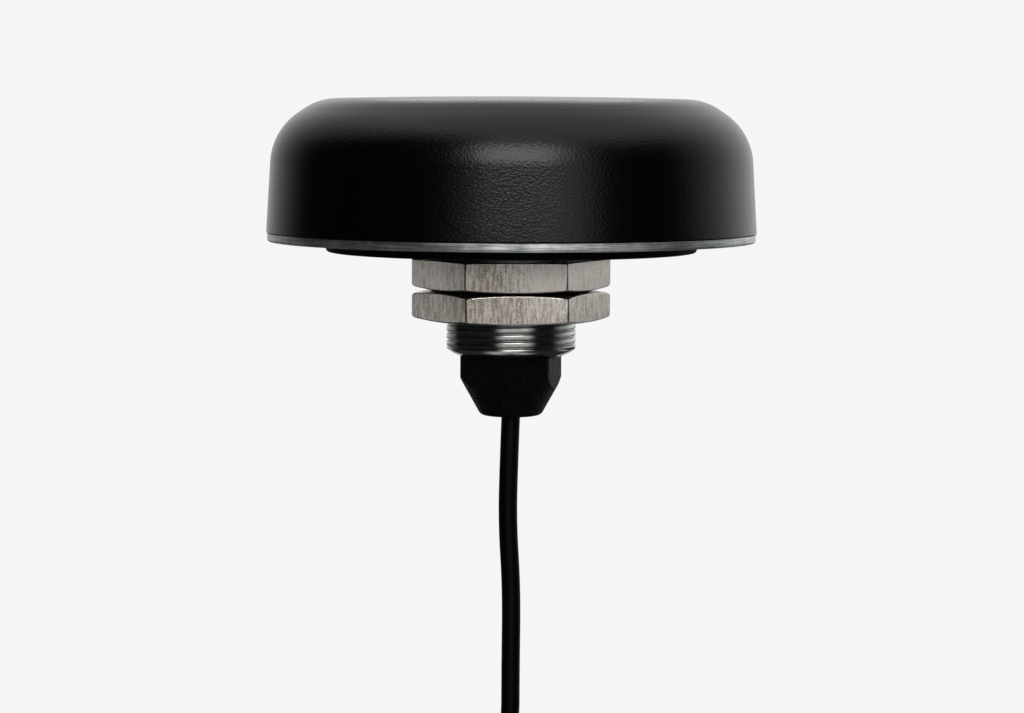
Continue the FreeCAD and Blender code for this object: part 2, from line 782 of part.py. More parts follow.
def make_gland_clamp():
    """A cage of springy fingers round the seal. The cap's cone presses their tips inward."""
    body = new_body("gland_clamp")
    outer = f"({NECK_BORE} - clamp_clearance)"
    inner = f"({SLEEVE_RADIUS} + clamp_clearance)"
    top = f"({GLAND_SEAT} - 2 * clamp_clearance)"
    tip = f"({CAP_END} + cap_floor + clamp_tip_gap)"
    seal_end = f"({GLAND_SEAT} - 3 * clamp_clearance - seal_sleeve_length)"
    turned(
        body,
        "cage",
        [
            (inner, top),
            (inner, seal_end),
            (CABLE_BORE, seal_end),
            (CABLE_BORE, tip),
            (SLEEVE_RADIUS, tip),
            (COLLAR_RADIUS, COLLAR_END),
            (COLLAR_RADIUS, COLLAR_TOP),
            (outer, COLLAR_TOP),
            (outer, top),
        ],
    )
    slot_sketch = new_sketch(body, "slot_outline", level=tip)
    draw_box(slot_sketch, f"2 * {COLLAR_RADIUS}", "clamp_slot_width", COLLAR_RADIUS)
    slot = pocket(body, "slot", slot_sketch, "clamp_slot_length", upward=True)
    repeat(body, "slots", [slot], "clamp_fingers")


def make_gland_cap():
    """A hexagonal cap whose corners run out into a cone, so each flat ends in an arc."""
    body = new_body("gland_cap")
    outline = new_sketch(body, "hexagon", level=CAP_TOP)
    draw_hexagon(outline, f"(2 * ({NECK_RADIUS} + cap_wall))", "cap_turn")
    pad(body, "blank", outline, f"{CAP_TOP} - {CAP_END}", downward=True)
    dress(body, "corners", "Fillet", upright_edges(body, 0), "cap_corner_round")
    wide = f"({CAP_NOSE_RADIUS} + tan(cap_cone) * cap_cone_height)"
    cone = [(CAP_NOSE_RADIUS, CAP_END), (wide, CAP_END), (wide, f"{CAP_END} + cap_cone_height")]
    groove(body, "cone", cone)
    nose = rings_at(body, (CAP_NOSE_RADIUS, CAP_END))
    dress(body, "nose", "Fillet", nose, "cap_nose_round")
    bore = f"({NECK_RADIUS} + fit_clearance)"
    floor = f"({CAP_END} + cap_floor)"
    groove(
        body,
        "hollow",
        [
            ("0", CAP_TOP),
            ("0", CAP_END),
            (CABLE_BORE, CAP_END),
            (CABLE_BORE, floor),
            (f"{SLEEVE_RADIUS} + clamp_tip_gap", floor),
            (f"{COLLAR_RADIUS} + clamp_tip_gap", COLLAR_END),
            (bore, COLLAR_TOP),
            (bore, CAP_TOP),
        ],
    )


# --- electronics --------------------------------------------------------------------------


def make_board():
    body = new_body("antenna_board")
    outline = new_sketch(body, "board_circle", level=BOARD)
    draw_circle(outline, BOARD_RADIUS)
    pad(body, "laminate", outline, "board_thickness")
    post_sketch = new_sketch(body, "post_hole_circle", level=BOARD)
    draw_circle(post_sketch, "boss_radius + board_hole_clearance", "boss_circle_radius")
    post = pocket(body, "post_hole", post_sketch, "board_thickness", upward=True)
    across = f"{BOARD_SCREW_CIRCLE} / sqrt(2)"
    screw_sketch = new_sketch(body, "screw_hole_circle", level=BOARD)
    draw_circle(screw_sketch, "screw_radius + screw_clearance", across, across)
    screw = pocket(body, "screw_hole", screw_sketch, "board_thickness", upward=True)
    repeat(body, "holes", [post, screw], "fixing_count")
    feed_sketch = new_sketch(body, "feed_hole_circle", level=BOARD)
    draw_circle(feed_sketch, "feed_radius + fit_clearance", "0", "feed_offset")
    pocket(body, "feed_hole", feed_sketch, "board_thickness", upward=True)


def make_slab(label, base, side, height, cut):
    """A square plate with a feed hole and, for a cut, chamfered corners."""
    body = new_body(label)
    outline = new_sketch(body, "outline", level=base)
    draw_box(outline, side, side)
    draw_circle(outline, "feed_radius + fit_clearance", "0", "feed_offset")
    pad(body, "plate", outline, height)
    if cut:
        dress(body, "corners", "Chamfer", upright_edges(body, number(side) / 2), cut)


def make_feed_pin():
    """A pin through the patch and the board, with a flat head on the electrode."""
    body = new_body("feed_pin")
    head_base = f"({PATCH_TOP} + electrode_height)"
    pin_sketch = new_sketch(body, "pin_circle", level=head_base)
    draw_circle(pin_sketch, "feed_radius", "0", "feed_offset")
    pad(body, "pin", pin_sketch, f"{head_base} - {BOARD} + feed_tail", downward=True)
    head_sketch = new_sketch(body, "head_circle", level=head_base)
    draw_circle(head_sketch, "feed_head_radius", "0", "feed_offset")
    pad(body, "head", head_sketch, "feed_head_height")


def make_shield():
    """A folded sheet-metal can, open towards the board."""
    body = new_body("amplifier_shield")
    outline = new_sketch(body, "outline", level=BOARD)
    draw_box(outline, "shield_length", "shield_width", SHIELD_OFFSET)
    pad(body, "can", outline, "shield_height", downward=True)
    inner = new_sketch(body, "inner_outline", level=BOARD)
    length, width = "shield_length - 2 * shield_sheet", "shield_width - 2 * shield_sheet"
    draw_box(inner, length, width, SHIELD_OFFSET)
    pocket(body, "inside", inner, "shield_height - shield_sheet")


def make_module():
    """The receiver module: a small carrier board under a shielding lid."""
    body = new_body("receiver_module")
    carrier = new_sketch(body, "carrier_outline", level=BOARD)
    draw_box(carrier, "module_length", "module_width", "0", f"0 - {MODULE_OFFSET}")
    pad(body, "carrier", carrier, "carrier_height", downward=True)
    lid = new_sketch(body, "lid_outline", level=f"{BOARD} - carrier_height")
    lid_length = "module_length - 2 * carrier_margin"
    lid_width = "module_width - 2 * carrier_margin"
    draw_box(lid, lid_length, lid_width, "0", f"0 - {MODULE_OFFSET}")
    pad(body, "lid", lid, "module_height - carrier_height", downward=True)


def make_backup_cell():
    cell = doc.addObject("Part::Cylinder", "backup_cell")
    cell.Label = "backup_cell"
    bind(cell, "Radius", "cell_radius")
    bind(cell, "Height", "cell_height")
    bind(cell, "Placement.Base.y", CELL_OFFSET)
    bind(cell, "Placement.Base.z", f"{BOARD} - cell_height")
    pieces["backup_cell"] = cell


def make_board_socket():
    """A wire-to-board socket under the board, open towards the stem."""
    body = new_body("board_socket")
    outline = new_sketch(body, "outline", level=BOARD)
    draw_box(outline, "socket_depth", "socket_length", "0 - socket_offset")
    pad(body, "block", outline, "socket_height", downward=True)
    mouth = new_sketch(body, "mouth_outline", "YZ_Plane", "socket_depth / 2 - socket_offset")
    width, height = "socket_length - 2 * socket_wall", "socket_height - 2 * socket_wall"
    draw_box(mouth, width, height, "0", f"{BOARD} - socket_height / 2")
    pocket(body, "mouth", mouth, "socket_depth - socket_wall")


def make_cable_housing():
    """The cable's own connector, pushed into the socket."""
    body = new_body("cable_housing")
    face = "(socket_wall - socket_depth / 2 - socket_offset + plug_gap)"
    outline = new_sketch(body, "outline", "YZ_Plane", face)
    width = "socket_length - 2 * socket_wall - 2 * plug_gap"
    height = "socket_height - 2 * socket_wall - 2 * plug_gap"
    draw_box(outline, width, height, "0", f"{BOARD} - socket_height / 2")
    pad(body, "block", outline, "socket_depth - socket_wall + plug_reach")


def make_inner_cable():
    """The jacketed cable inside the gland and the stem, down to the cap's end."""
    core = doc.addObject("Part::Cylinder", "inner_cable")
    core.Label = "inner_cable"
    bind(core, "Radius", "cable_radius")
    bind(core, "Height", f"cable_end_level - {CAP_END}")
    bind(core, "Placement.Base.z", CAP_END)
    pieces["inner_cable"] = core


def make_leads():
    """Four wires from the jacket's end, fanned out to the connector."""
    reach = "plug_reach + socket_depth / 2 - socket_offset + plug_gap"
    face, height = number(reach), number(f"{BOARD} - socket_height / 2")
    start = number("cable_end_level")
    count = int(number("lead_count"))
    wires = []
    for index in range(count):
        step = index - (count - 1) / 2
        near, far = step * number("lead_pitch"), step * number("lead_spread")
        route = [Vector(0, near, start), Vector(0, near, height), Vector(face, far, height)]
        wires.append(swept(route, number("lead_radius"), number("lead_bend"))[0])
    shape_piece("inner_leads", Part.Compound(wires))


# --- cable, coil and plug -----------------------------------------------------------------

# The hanging cable, from the gland to the top of the coil: chosen by hand.
CABLE_ROUTE = [
    (0.0, 0.0, None),
    (-0.25, 0.0, -29.9),
    (-0.42, 0.0, -38.0),
    (0.2, 0.0, -47.5),
    (0.1, 0.0, -58.5),
    (0.1, 0.0, -69.5),
    (-5.0, 1.0, -78.2),
    (-13.9, 3.0, -83.7),
    (-17.9, 5.4, -93.4),
    (-15.2, 7.6, -103.6),
    (-6.8, 9.1, -110.15),
    (3.5, 9.275, -110.15),
]


def make_cable():
    """The cable from the gland to the coil, up to where it is one of the coil's turns."""
    exit_level = number(CAP_END)
    points = [Vector(x, y, exit_level if z is None else z) for x, y, z in CABLE_ROUTE]
    tube, length, radii = swept(points, number("cable_radius"))
    shape_piece("cable", tube.cut(pieces["cable_coil"].Shape))
    print("cable:", round(length, 1), "mm, arcs", [round(radius, 1) for radius in radii])


def make_coil():
    """The spare cable, as one solid of the tied coil's outer shape, in a vertical plane."""
    body = new_body("cable_coil")
    turned(
        body,
        "bundle",
        [
            (COIL_INNER, f"0 - {COIL_HALF_WIDTH}"),
            (COIL_OUTER, f"0 - {COIL_HALF_WIDTH}"),
            (COIL_OUTER, COIL_HALF_WIDTH),
            (COIL_INNER, COIL_HALF_WIDTH),
        ],
    )
    corners = [(COIL_INNER, f"0 - {COIL_HALF_WIDTH}"), (COIL_OUTER, f"0 - {COIL_HALF_WIDTH}")]
    corners += [(COIL_OUTER, COIL_HALF_WIDTH), (COIL_INNER, COIL_HALF_WIDTH)]
    dress(body, "corners", "Fillet", rings_at(body, *corners), "coil_corner_round")
    upright = (Vector(1, 0, 0), 90)
    placed(body, "coil_centre_side", "0", COIL_CENTRE, upright)


def make_ties():
    """Two straps round the bundle, one at its top and one at its foot."""
    body = new_body("coil_ties")
    inside_width = f"2 * ({COIL_HALF_WIDTH} + tie_clearance)"
    inside_depth = f"2 * ({COIL_HALF_DEPTH} + tie_clearance)"
    outside_width, outside_depth = f"{inside_width} + 2 * tie_sheet", f"{inside_depth} + 2 * tie_sheet"
    outline = new_sketch(body, "strap_outline", "YZ_Plane")
    draw_box(outline, outside_width, outside_depth, "0", "coil_mid_radius")
    draw_box(outline, inside_width, inside_depth, "0", "coil_mid_radius")
    strap = pad(body, "strap", outline, "tie_width", both_ways=True)
    repeat(body, "straps", [strap], "tie_count", "Y_Axis")
    placed(body, "coil_centre_side", "0", COIL_CENTRE)


# The plug hangs by a short tail from the coil's outer row on the right.
TAIL_SIDE = f"(coil_centre_side + {COIL_OUTER} - coil_pitch / 2)"
TAIL_FRONT = f"(coil_pitch / 2 - {COIL_HALF_WIDTH})"
BOOT_TOP = f"({COIL_CENTRE} - tail_length)"
MOULD_TOP = "(0 - boot_length)"
MOULD_END = f"({MOULD_TOP} - mould_length)"
SHELL_END = f"({MOULD_END} - shell_length)"


def make_tail():
    """The end of the cable, straight down from where it leaves the coil."""
    core = doc.addObject("Part::Cylinder", "tail_core")
    bind(core, "Radius", "cable_radius")
    bind(core, "Height", "tail_length")
    bind(core, "Placement.Base.x", TAIL_SIDE)
    bind(core, "Placement.Base.y", TAIL_FRONT)
    bind(core, "Placement.Base.z", BOOT_TOP)
    tail = doc.addObject("Part::Cut", "cable_tail")
    tail.Label = "cable_tail"
    tail.Base = core
    tail.Tool = pieces["cable_coil"]
    doc.recompute()
    pieces["cable_tail"] = tail


def make_plug_body():
    """The soft overmould, with a tapered boot where the cable enters."""
    body = new_body("plug_body")
    outline = new_sketch(body, "mould_outline", level=MOULD_TOP)
    draw_box(outline, "mould_width", "mould_thickness")
    pad(body, "mould", outline, "mould_length", downward=True)
    dress(body, "mould_edges", "Fillet", upright_edges(body, 0), "mould_round")
    boot_base = "(mould_thickness / 2 - boot_inset)"
    boot_root = f"{MOULD_TOP} - boot_overlap"
    turned(
        body,
        "boot",
        [
            ("0", boot_root),
            (boot_base, boot_root),
            (boot_base, MOULD_TOP),
            ("boot_radius", "0"),
            ("0", "0"),
        ],
    )
    seat = new_sketch(body, "shell_outline", level=MOULD_END)
    clearance = "2 * shell_clearance"
    draw_box(seat, f"shell_width + {clearance}", f"shell_thickness + {clearance}")
    pocket(body, "shell_seat", seat, "shell_seat", upward=True)
    placed(body, TAIL_SIDE, TAIL_FRONT, BOOT_TOP)


def make_plug_shell():
    body = new_body("plug_shell")
    outline = new_sketch(body, "shell_outline", level=f"{MOULD_END} + shell_seat")
    inner_width = "(shell_width - 2 * shell_sheet)"
    inner_thickness = "(shell_thickness - 2 * shell_sheet)"
    draw_box(outline, "shell_width", "shell_thickness")
    draw_box(outline, inner_width, inner_thickness)
    pad(body, "shell", outline, "shell_length + shell_seat", downward=True)
    window = new_sketch(body, "window_outline", "XZ_Plane", "shell_thickness")
    middle = f"{MOULD_END} - window_inset"
    draw_box(window, "window_width", "window_height", "0 - window_spacing / 2", middle)
    draw_box(window, "window_width", "window_height", "window_spacing / 2", middle)
    pocket(body, "windows", window, "2 * shell_thickness")
    placed(body, TAIL_SIDE, TAIL_FRONT, BOOT_TOP)


def make_plug_tongue():
    """The insulator: a block at the shell's root and a tongue along one side of its mouth."""
    body = new_body("plug_tongue")
    width = "shell_width - 2 * shell_sheet - 2 * shell_clearance"
    depth = "(shell_thickness - 2 * shell_sheet - 2 * shell_clearance)"
    block = new_sketch(body, "block_outline", level=f"{MOULD_END} + shell_seat")
    draw_box(block, width, depth)
    pad(body, "block", block, "shell_seat", downward=True)
    tongue = new_sketch(body, "tongue_outline", level=MOULD_END)
    draw_box(tongue, width, "tongue_thickness", "0", f"{depth} / 2 - tongue_thickness / 2")
    pad(body, "tongue", tongue, "shell_length - tongue_inset", downward=True)
    placed(body, TAIL_SIDE, TAIL_FRONT, BOOT_TOP)


def make_plug_contacts():
    """Four gold strips on the tongue."""
    body = new_body("plug_contacts")
    depth = "(shell_thickness - 2 * shell_sheet - 2 * shell_clearance)"
    face = f"({depth} / 2 - tongue_thickness)"
    start = f"{SHELL_END} + tongue_inset + contact_inset"
    outline = new_sketch(body, "contact_outlines", level=start)
    for side in ("inner_contact_side", "outer_contact_side"):
        for x in (side, f"0 - {side}"):
            draw_box(outline, "contact_width", "contact_sheet", x, f"{face} - contact_sheet / 2")
    pad(body, "contacts", outline, "contact_length")
    placed(body, TAIL_SIDE, TAIL_FRONT, BOOT_TOP)


# --- the whole part -----------------------------------------------------------------------

make_radome()
make_base_plate()
make_gasket()
make_radome_seal()
make_stem()
make_washer()
make_nut("upper_jam_nut", UPPER_NUT_TOP, "upper_nut_turn")
make_nut("lower_jam_nut", LOWER_NUT_TOP, "lower_nut_turn")
make_gland_body()
make_gland_ring()
make_gland_seal()
make_gland_clamp()
make_gland_cap()
make_board()
make_slab("patch_pad", BOARD_TOP, "patch_side - 2 * pad_margin", "pad_height", None)
make_slab("patch_antenna", PATCH_BASE, "patch_side", "patch_height", "patch_corner")
make_slab("patch_electrode", PATCH_TOP, "electrode_side", "electrode_height", "electrode_cut")
make_feed_pin()
make_shield()
make_module()
make_backup_cell()
make_board_socket()
make_cable_housing()
make_inner_cable()
make_leads()
make_screws("housing_screws", "boss_circle_radius", "0", COUNTERBORE_TOP, "housing_screw_length", True)
make_screws("board_screws", BOARD_SCREW_CIRCLE, "45", BOARD_TOP, "board_screw_length", False)
make_coil()
make_cable()
make_ties()
make_tail()
make_plug_body()
make_plug_shell()
make_plug_tongue()
make_plug_contacts()

doc.recompute()
for thing in doc.Objects:
    if {"Invalid", "Error"} & set(thing.State):
        raise RuntimeError(f"{thing.Label} failed: {thing.State}")
for label, piece in pieces.items():
    if piece.Shape.isNull() or not piece.Shape.isValid():
        raise RuntimeError(f"{label} has no valid shape")
os.makedirs("parts", exist_ok=True)
for label, piece in pieces.items():
    piece.Shape.exportStep(f"parts/{label}.step")
    box = piece.Shape.BoundBox
    size = " x ".join(f"{side:.2f}" for side in (box.XLength, box.YLength, box.ZLength))
    print(f"{label}: {len(piece.Shape.Solids)} solid(s), {size} mm, {piece.Shape.Volume:.1f} mm3")
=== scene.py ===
# %% [markdown]
# # A puck-shaped positioning receiver on its panel stem
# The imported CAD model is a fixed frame: every piece made here is placed from its boxes, in
# metres, and rides on one of its bodies. We load it first and remember how large it is.

import json
import math

import bmesh
import bpy
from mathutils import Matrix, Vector


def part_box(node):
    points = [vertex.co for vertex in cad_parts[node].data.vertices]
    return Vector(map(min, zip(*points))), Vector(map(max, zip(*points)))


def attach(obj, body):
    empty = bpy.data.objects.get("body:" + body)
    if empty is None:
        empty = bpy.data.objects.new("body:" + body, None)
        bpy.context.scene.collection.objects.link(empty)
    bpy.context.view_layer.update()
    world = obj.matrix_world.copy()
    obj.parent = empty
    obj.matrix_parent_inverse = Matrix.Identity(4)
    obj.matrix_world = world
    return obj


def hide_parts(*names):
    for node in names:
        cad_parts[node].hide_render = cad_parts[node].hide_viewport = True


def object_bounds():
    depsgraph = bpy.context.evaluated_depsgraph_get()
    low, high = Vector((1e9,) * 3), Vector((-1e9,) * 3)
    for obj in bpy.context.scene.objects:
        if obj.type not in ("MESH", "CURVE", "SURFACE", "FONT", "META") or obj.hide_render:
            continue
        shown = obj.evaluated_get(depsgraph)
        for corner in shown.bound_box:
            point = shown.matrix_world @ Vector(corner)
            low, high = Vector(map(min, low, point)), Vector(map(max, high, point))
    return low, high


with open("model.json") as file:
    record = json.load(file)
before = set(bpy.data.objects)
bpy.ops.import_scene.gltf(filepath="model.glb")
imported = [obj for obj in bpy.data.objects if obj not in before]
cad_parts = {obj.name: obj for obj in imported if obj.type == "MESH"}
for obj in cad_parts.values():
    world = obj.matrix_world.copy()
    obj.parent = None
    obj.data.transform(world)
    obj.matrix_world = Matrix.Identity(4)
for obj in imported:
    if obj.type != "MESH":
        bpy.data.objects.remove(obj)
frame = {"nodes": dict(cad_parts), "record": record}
cad_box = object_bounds()
MM = 0.001
node = frame["nodes"]

# %% [markdown]
# ## Camera
# A product shot of a hanging part is taken from a little above its middle with a long lens, so
# that verticals stay upright. The camera stands level with the radome and looks slightly down.

# %% Camera
CAMERA_DISTANCE = 0.3767
CAMERA_HEIGHT = 0.0180
CAMERA_PITCH = 4.97
CAMERA_ROLL = -0.22
SENSOR_WIDTH = 36.0
FOCAL_LENGTH = 95.5
SIDE_SHIFT = 0.0001
lens = bpy.data.cameras.new("camera")
lens.sensor_width = SENSOR_WIDTH
lens.lens = FOCAL_LENGTH
lens.shift_x = SIDE_SHIFT
camera = bpy.data.objects.new("camera", lens)
camera.location = (0.0, -CAMERA_DISTANCE, CAMERA_HEIGHT)
camera.rotation_euler = (math.radians(90.0 - CAMERA_PITCH), math.radians(CAMERA_ROLL), 0.0)
bpy.context.scene.collection.objects.link(camera)
bpy.context.scene.camera = camera
bpy.context.scene.view_settings.view_transform = "Standard"
print("camera", round(CAMERA_DISTANCE, 3), "m away")

# %% [markdown]
# ## The cable
# The real cable is three metres of slim round jacket. A piece of it hangs from the gland with
# the slight bow that packing leaves in it, and the rest is wound into a tied coil below. One
# NURBS curve carries the whole length: a few listed control points for the hanging part,
# and then the turns of the coil, which a loop works out. A curve with a round bevel is the
# natural choice, because a cable is one section swept along one line. Blender adds the radius
# of each point to a curve's box, so the points carry the cable's radius and the bevel is 1.

# %% Where the cable hangs
cap_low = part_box("gland_cap")[0]
coil_low, coil_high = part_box("cable_coil")
plug_low, plug_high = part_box("plug_body")
CABLE_RADIUS = 1.3 * MM
exit_point = (0.0, 0.0, cap_low.z)
hanging = [
    (0.0, 0.0, exit_point[2] / MM),
    (-0.25, 0.0, -29.9),
    (-0.42, 0.0, -38.0),
    (0.2, 0.0, -47.5),
    (0.1, 0.0, -58.5),
    (0.1, 0.0, -69.5),
    (-5.0, 1.0, -78.2),
    (-13.9, 3.0, -83.7),
    (-17.9, 5.4, -93.4),
    (-15.2, 7.6, -103.6),
    (-6.8, 9.1, -110.15),
]
print("the cable leaves the gland at", exit_point)

# %% [markdown]
# The coil is wound like thread on a bobbin, in pairs of discs: inward through four layers, one
# step sideways and outward again, seven turns in all. Each step starts at its own place round
# the coil, in degrees from the top, so that no turn runs through another. A quadratic NURBS cuts
# inside its control polygon by a fixed share, and the control radius is made larger by that share.

# %% Sizes of the coil
LAYERS = 4
ROWS = 8
TURNS_A_PAIR = 2 * LAYERS - 1
STEP_SPAN = 30
INWARD_STEP, OUTWARD_STEP = 180, 120
NEXT_ROW_STEP, NEXT_PAIR_STEP = 150, 240
LAST_QUARTER = 90
PITCH = 2.65 * MM
POINTS_A_TURN = 16
STRAIGHT_TAIL = 6 * MM
CABLE_IN_PLUG = 2 * MM
coil_centre = (coil_low + coil_high) / 2
outer_turn = (coil_high.x - coil_low.x) / 2 - PITCH / 2
back_row = coil_high.y - PITCH / 2
half_step = math.pi / POINTS_A_TURN
OUTSIDE_SHARE = 1 / (0.75 + 0.25 * math.cos(2 * half_step))
print("coil:", TURNS_A_PAIR * ROWS // 2, "turns, the outer one", round(2 * outer_turn / MM, 1), "mm across")


# %% Helpers: steps round the coil
def clipped(share):
    return min(max(share, 0.0), 1.0)


def smooth_step(share):
    """0 below 0, 1 above 1, and a smooth step between."""
    share = clipped(share)
    return share * share * (3 - 2 * share)


def step_taken(degrees, turns, start):
    """The share of a step that begins at start degrees into the turn after so many turns."""
    return smooth_step((degrees - 360 * turns - start) / STEP_SPAN)


def coil_place(degrees):
    """How many layers in from the outside and rows from the back, at that many degrees."""
    inward, across = 0.0, 0.0
    for pair in range(ROWS // 2):
        first = TURNS_A_PAIR * pair
        for layer in range(LAYERS - 1):
            inward += step_taken(degrees, first + layer, INWARD_STEP)
            inward -= step_taken(degrees, first + LAYERS + layer, OUTWARD_STEP)
        across += step_taken(degrees, first + LAYERS - 1, NEXT_ROW_STEP)
        if pair < ROWS // 2 - 1:
            across += step_taken(degrees, first + TURNS_A_PAIR - 1, NEXT_PAIR_STEP)
    return inward, across


# %% The whole route
END_TURN = 360 * (TURNS_A_PAIR * ROWS // 2) + LAST_QUARTER
route = [Vector(point) * MM for point in hanging]
count = int(END_TURN / 360 * POINTS_A_TURN)
for index in range(1, count + 1):
    turn = END_TURN * index / count
    inward, across = coil_place(turn)
    radius = (outer_turn - inward * PITCH) * OUTSIDE_SHARE
    angle = math.radians(turn)
    x = coil_centre.x + radius * math.sin(angle)
    z = coil_centre.z + radius * math.cos(angle)
    route.append(Vector((x, back_row - across * PITCH, z)))
tail_x = (plug_low.x + plug_high.x) / 2
tail_y = (plug_low.y + plug_high.y) / 2
route[-1].x = tail_x
route.append(Vector((tail_x, tail_y, coil_centre.z - STRAIGHT_TAIL)))
route.append(Vector((tail_x, tail_y, plug_high.z - CABLE_IN_PLUG)))
print("cable route:", len(route), "control points")


# %% Helper: a round piece swept along a smooth line
def smooth_line(name, points, radius):
    """A curve object whose NURBS line has these control points."""
    curve = bpy.data.curves.new(name, "CURVE")
    curve.dimensions = "3D"
    curve.bevel_depth = 1.0
    curve.bevel_resolution = 6
    curve.resolution_u = 6
    curve.use_fill_caps = True
    spline = curve.splines.new("NURBS")
    spline.points.add(len(points) - 1)
    for spot, place in zip(spline.points, points):
        spot.co = (*place, 1.0)
        spot.radius = radius
    spline.order_u = 3
    spline.use_endpoint_u = True
    piece = bpy.data.objects.new(name, curve)
    bpy.context.scene.collection.objects.link(piece)
    return piece


# %% The cable
cable = smooth_line("signal_cable", route, CABLE_RADIUS)
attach(cable, "receiver")
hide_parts("cable", "cable_coil", "cable_tail")
print(cable.name, "rides on the receiver")

# %% [markdown]
# ## Light
# Black plastic and bare metal show their surroundings more than their own colour, so the light is
# planned as what they mirror. A pale room stands all round. One bright soft box hangs in front
# and a little above it, a wide dim one overhead, and a small one high behind draws the light
# line along the radome's top edge.

# %% Lamps
def softbox(name, azimuth, elevation, distance, width, height, radiance):
    """A rectangular lamp aimed at the receiver. Azimuth 0 is in front, 90 is on the right."""
    lamp = bpy.data.lights.new(name, "AREA")
    lamp.shape = "RECTANGLE"
    lamp.size = width
    lamp.size_y = height
    lamp.energy = radiance * math.pi * width * height
    holder = bpy.data.objects.new(name, lamp)
    turn, lift = math.radians(azimuth), math.radians(elevation)
    way = Vector((math.sin(turn) * math.cos(lift), -math.cos(turn) * math.cos(lift), math.sin(lift)))
    holder.location = way * distance
    holder.rotation_euler = way.to_track_quat("Z", "Y").to_euler()
    holder.visible_camera = False
    bpy.context.scene.collection.objects.link(holder)
    print(name, round(lamp.energy, 2), "W")


softbox("key_box", azimuth=3.0, elevation=25.0, distance=0.9, width=0.54, height=0.46, radiance=3.5)
softbox("top_box", azimuth=-55.0, elevation=72.0, distance=0.95, width=1.3, height=1.1, radiance=0.11)
softbox("rim_box", azimuth=180.0, elevation=34.0, distance=0.9, width=0.30, height=0.34, radiance=1.25)

# %% [markdown]
# ## Small classes for materials
# A material is a tree of nodes, and a long tree is hard to read as code. So a Value wraps one
# socket, and arithmetic on it adds Math nodes: grain * 0.2 + 0.6 is a line of maths, not two
# nodes and two links. A NodeTree adds any other node, and a Finish is a NodeTree that makes a
# material and knows its Principled shader.

# %% Shader maths as Python expressions
class Value:
    """One number or colour inside a node tree. Arithmetic on it adds Math nodes."""

    def __init__(self, owner, socket):
        self.owner = owner
        self.socket = socket

    def maths(self, operation, *others):
        inputs = dict(enumerate((self, *others)))
        return self.owner.add("ShaderNodeMath", {"operation": operation}, inputs)

    def __add__(self, other):
        return self.maths("ADD", other)

    def __sub__(self, other):
        return self.maths("SUBTRACT", other)

    def __mul__(self, other):
        return self.maths("MULTIPLY", other)

    def __rsub__(self, other):
        return self.owner.add("ShaderNodeMath", {"operation": "SUBTRACT"}, {0: other, 1: self})

    __radd__ = __add__
    __rmul__ = __mul__

    def hypotenuse(self, other):
        """The long side of a right triangle with these two short ones."""
        return (self * self + other * other).maths("POWER", 0.5)

    def clamped(self, low, high):
        """The value's stretch from low to high, as 0 to 1."""
        limits = {"Value": self, "From Min": low, "From Max": high}
        return self.owner.add("ShaderNodeMapRange", {"clamp": True}, limits)


# %% Node trees and materials
class NodeTree:
    """The nodes of a material or of the world, added one call at a time."""

    def __init__(self, tree):
        self.tree = tree

    def add(self, kind, settings=None, inputs=None, output=0):
        """A node of that kind: its settings first, then values or links for its sockets."""
        made = self.tree.nodes.new(kind)
        for name, value in (settings or {}).items():
            setattr(made, name, value)
        for socket, value in (inputs or {}).items():
            self.feed(made.inputs[socket], value)
        return Value(self, made.outputs[output])

    def feed(self, socket, value):
        if isinstance(value, Value):
            self.tree.links.new(value.socket, socket)
        elif socket.type == "RGBA" and len(value) == 3:
            socket.default_value = (*value, 1.0)
        else:
            socket.default_value = value

    def blend(self, share, first, second):
        """Two colours mixed by a share."""
        inputs = {0: share, 6: first, 7: second}
        return self.add("ShaderNodeMix", {"data_type": "RGBA"}, inputs, output=2)


class Finish(NodeTree):
    """A material that is being made."""

    def __init__(self, name, base, roughness, metallic=0.0, **fixed):
        self.material = bpy.data.materials.new(name)
        self.material.use_nodes = True
        super().__init__(self.material.node_tree)
        self.shader = self.tree.nodes["Principled BSDF"]
        self.shader.inputs["Base Color"].default_value = (*base, 1.0)
        self.shader.inputs["Roughness"].default_value = roughness
        self.shader.inputs["Metallic"].default_value = metallic
        for socket, value in fixed.items():
            self.shader.inputs[socket.replace("_", " ")].default_value = value
        self.place = self.add("ShaderNodeTexCoord", output="Object")

    def drive(self, **values):
        """Links values to the shader's own sockets."""
        for socket, value in values.items():
            self.feed(self.shader.inputs[socket.replace("_", " ")], value)

    def stretched(self, x, y, z):
        """The place on the piece, scaled along each axis."""
        inputs = {0: self.place, 1: (x, y, z)}
        return self.add("ShaderNodeVectorMath", {"operation": "MULTIPLY"}, inputs)

    def noise(self, scale, detail=2.0, roughness=0.5, place=None):
        inputs = {"Vector": place or self.place, "Scale": scale, "Detail": detail, "Roughness": roughness}
        return self.add("ShaderNodeTexNoise", {}, inputs)

    def cells(self, scale, feature="F1", place=None):
        inputs = {"Vector": place or self.place, "Scale": scale}
        return self.add("ShaderNodeTexVoronoi", {"feature": feature}, inputs)

    def near(self, place, reach, core):
        """1 up to core metres from a place on the piece, and 0 from reach metres on."""
        inputs = {0: self.place, 1: place}
        away = self.add("ShaderNodeVectorMath", {"operation": "DISTANCE"}, inputs, output=1)
        return away.clamped(reach, core)

    def coloured(self, share, first, second):
        """The base colour runs from the first colour to the second by a share."""
        self.drive(Base_Color=self.blend(share, first, second))

    def bumped(self, height, depth, strength=1.0):
        """A bump: a height of 1 stands depth metres proud."""
        inputs = {"Height": height, "Distance": depth, "Strength": strength}
        self.drive(Normal=self.add("ShaderNodeBump", {}, inputs))

    def axes(self):
        """The place on the piece as three numbers."""
        split = self.add("ShaderNodeSeparateXYZ", {}, {0: self.place})
        return [Value(self, split.socket.node.outputs[index]) for index in range(3)]


finishes = {}


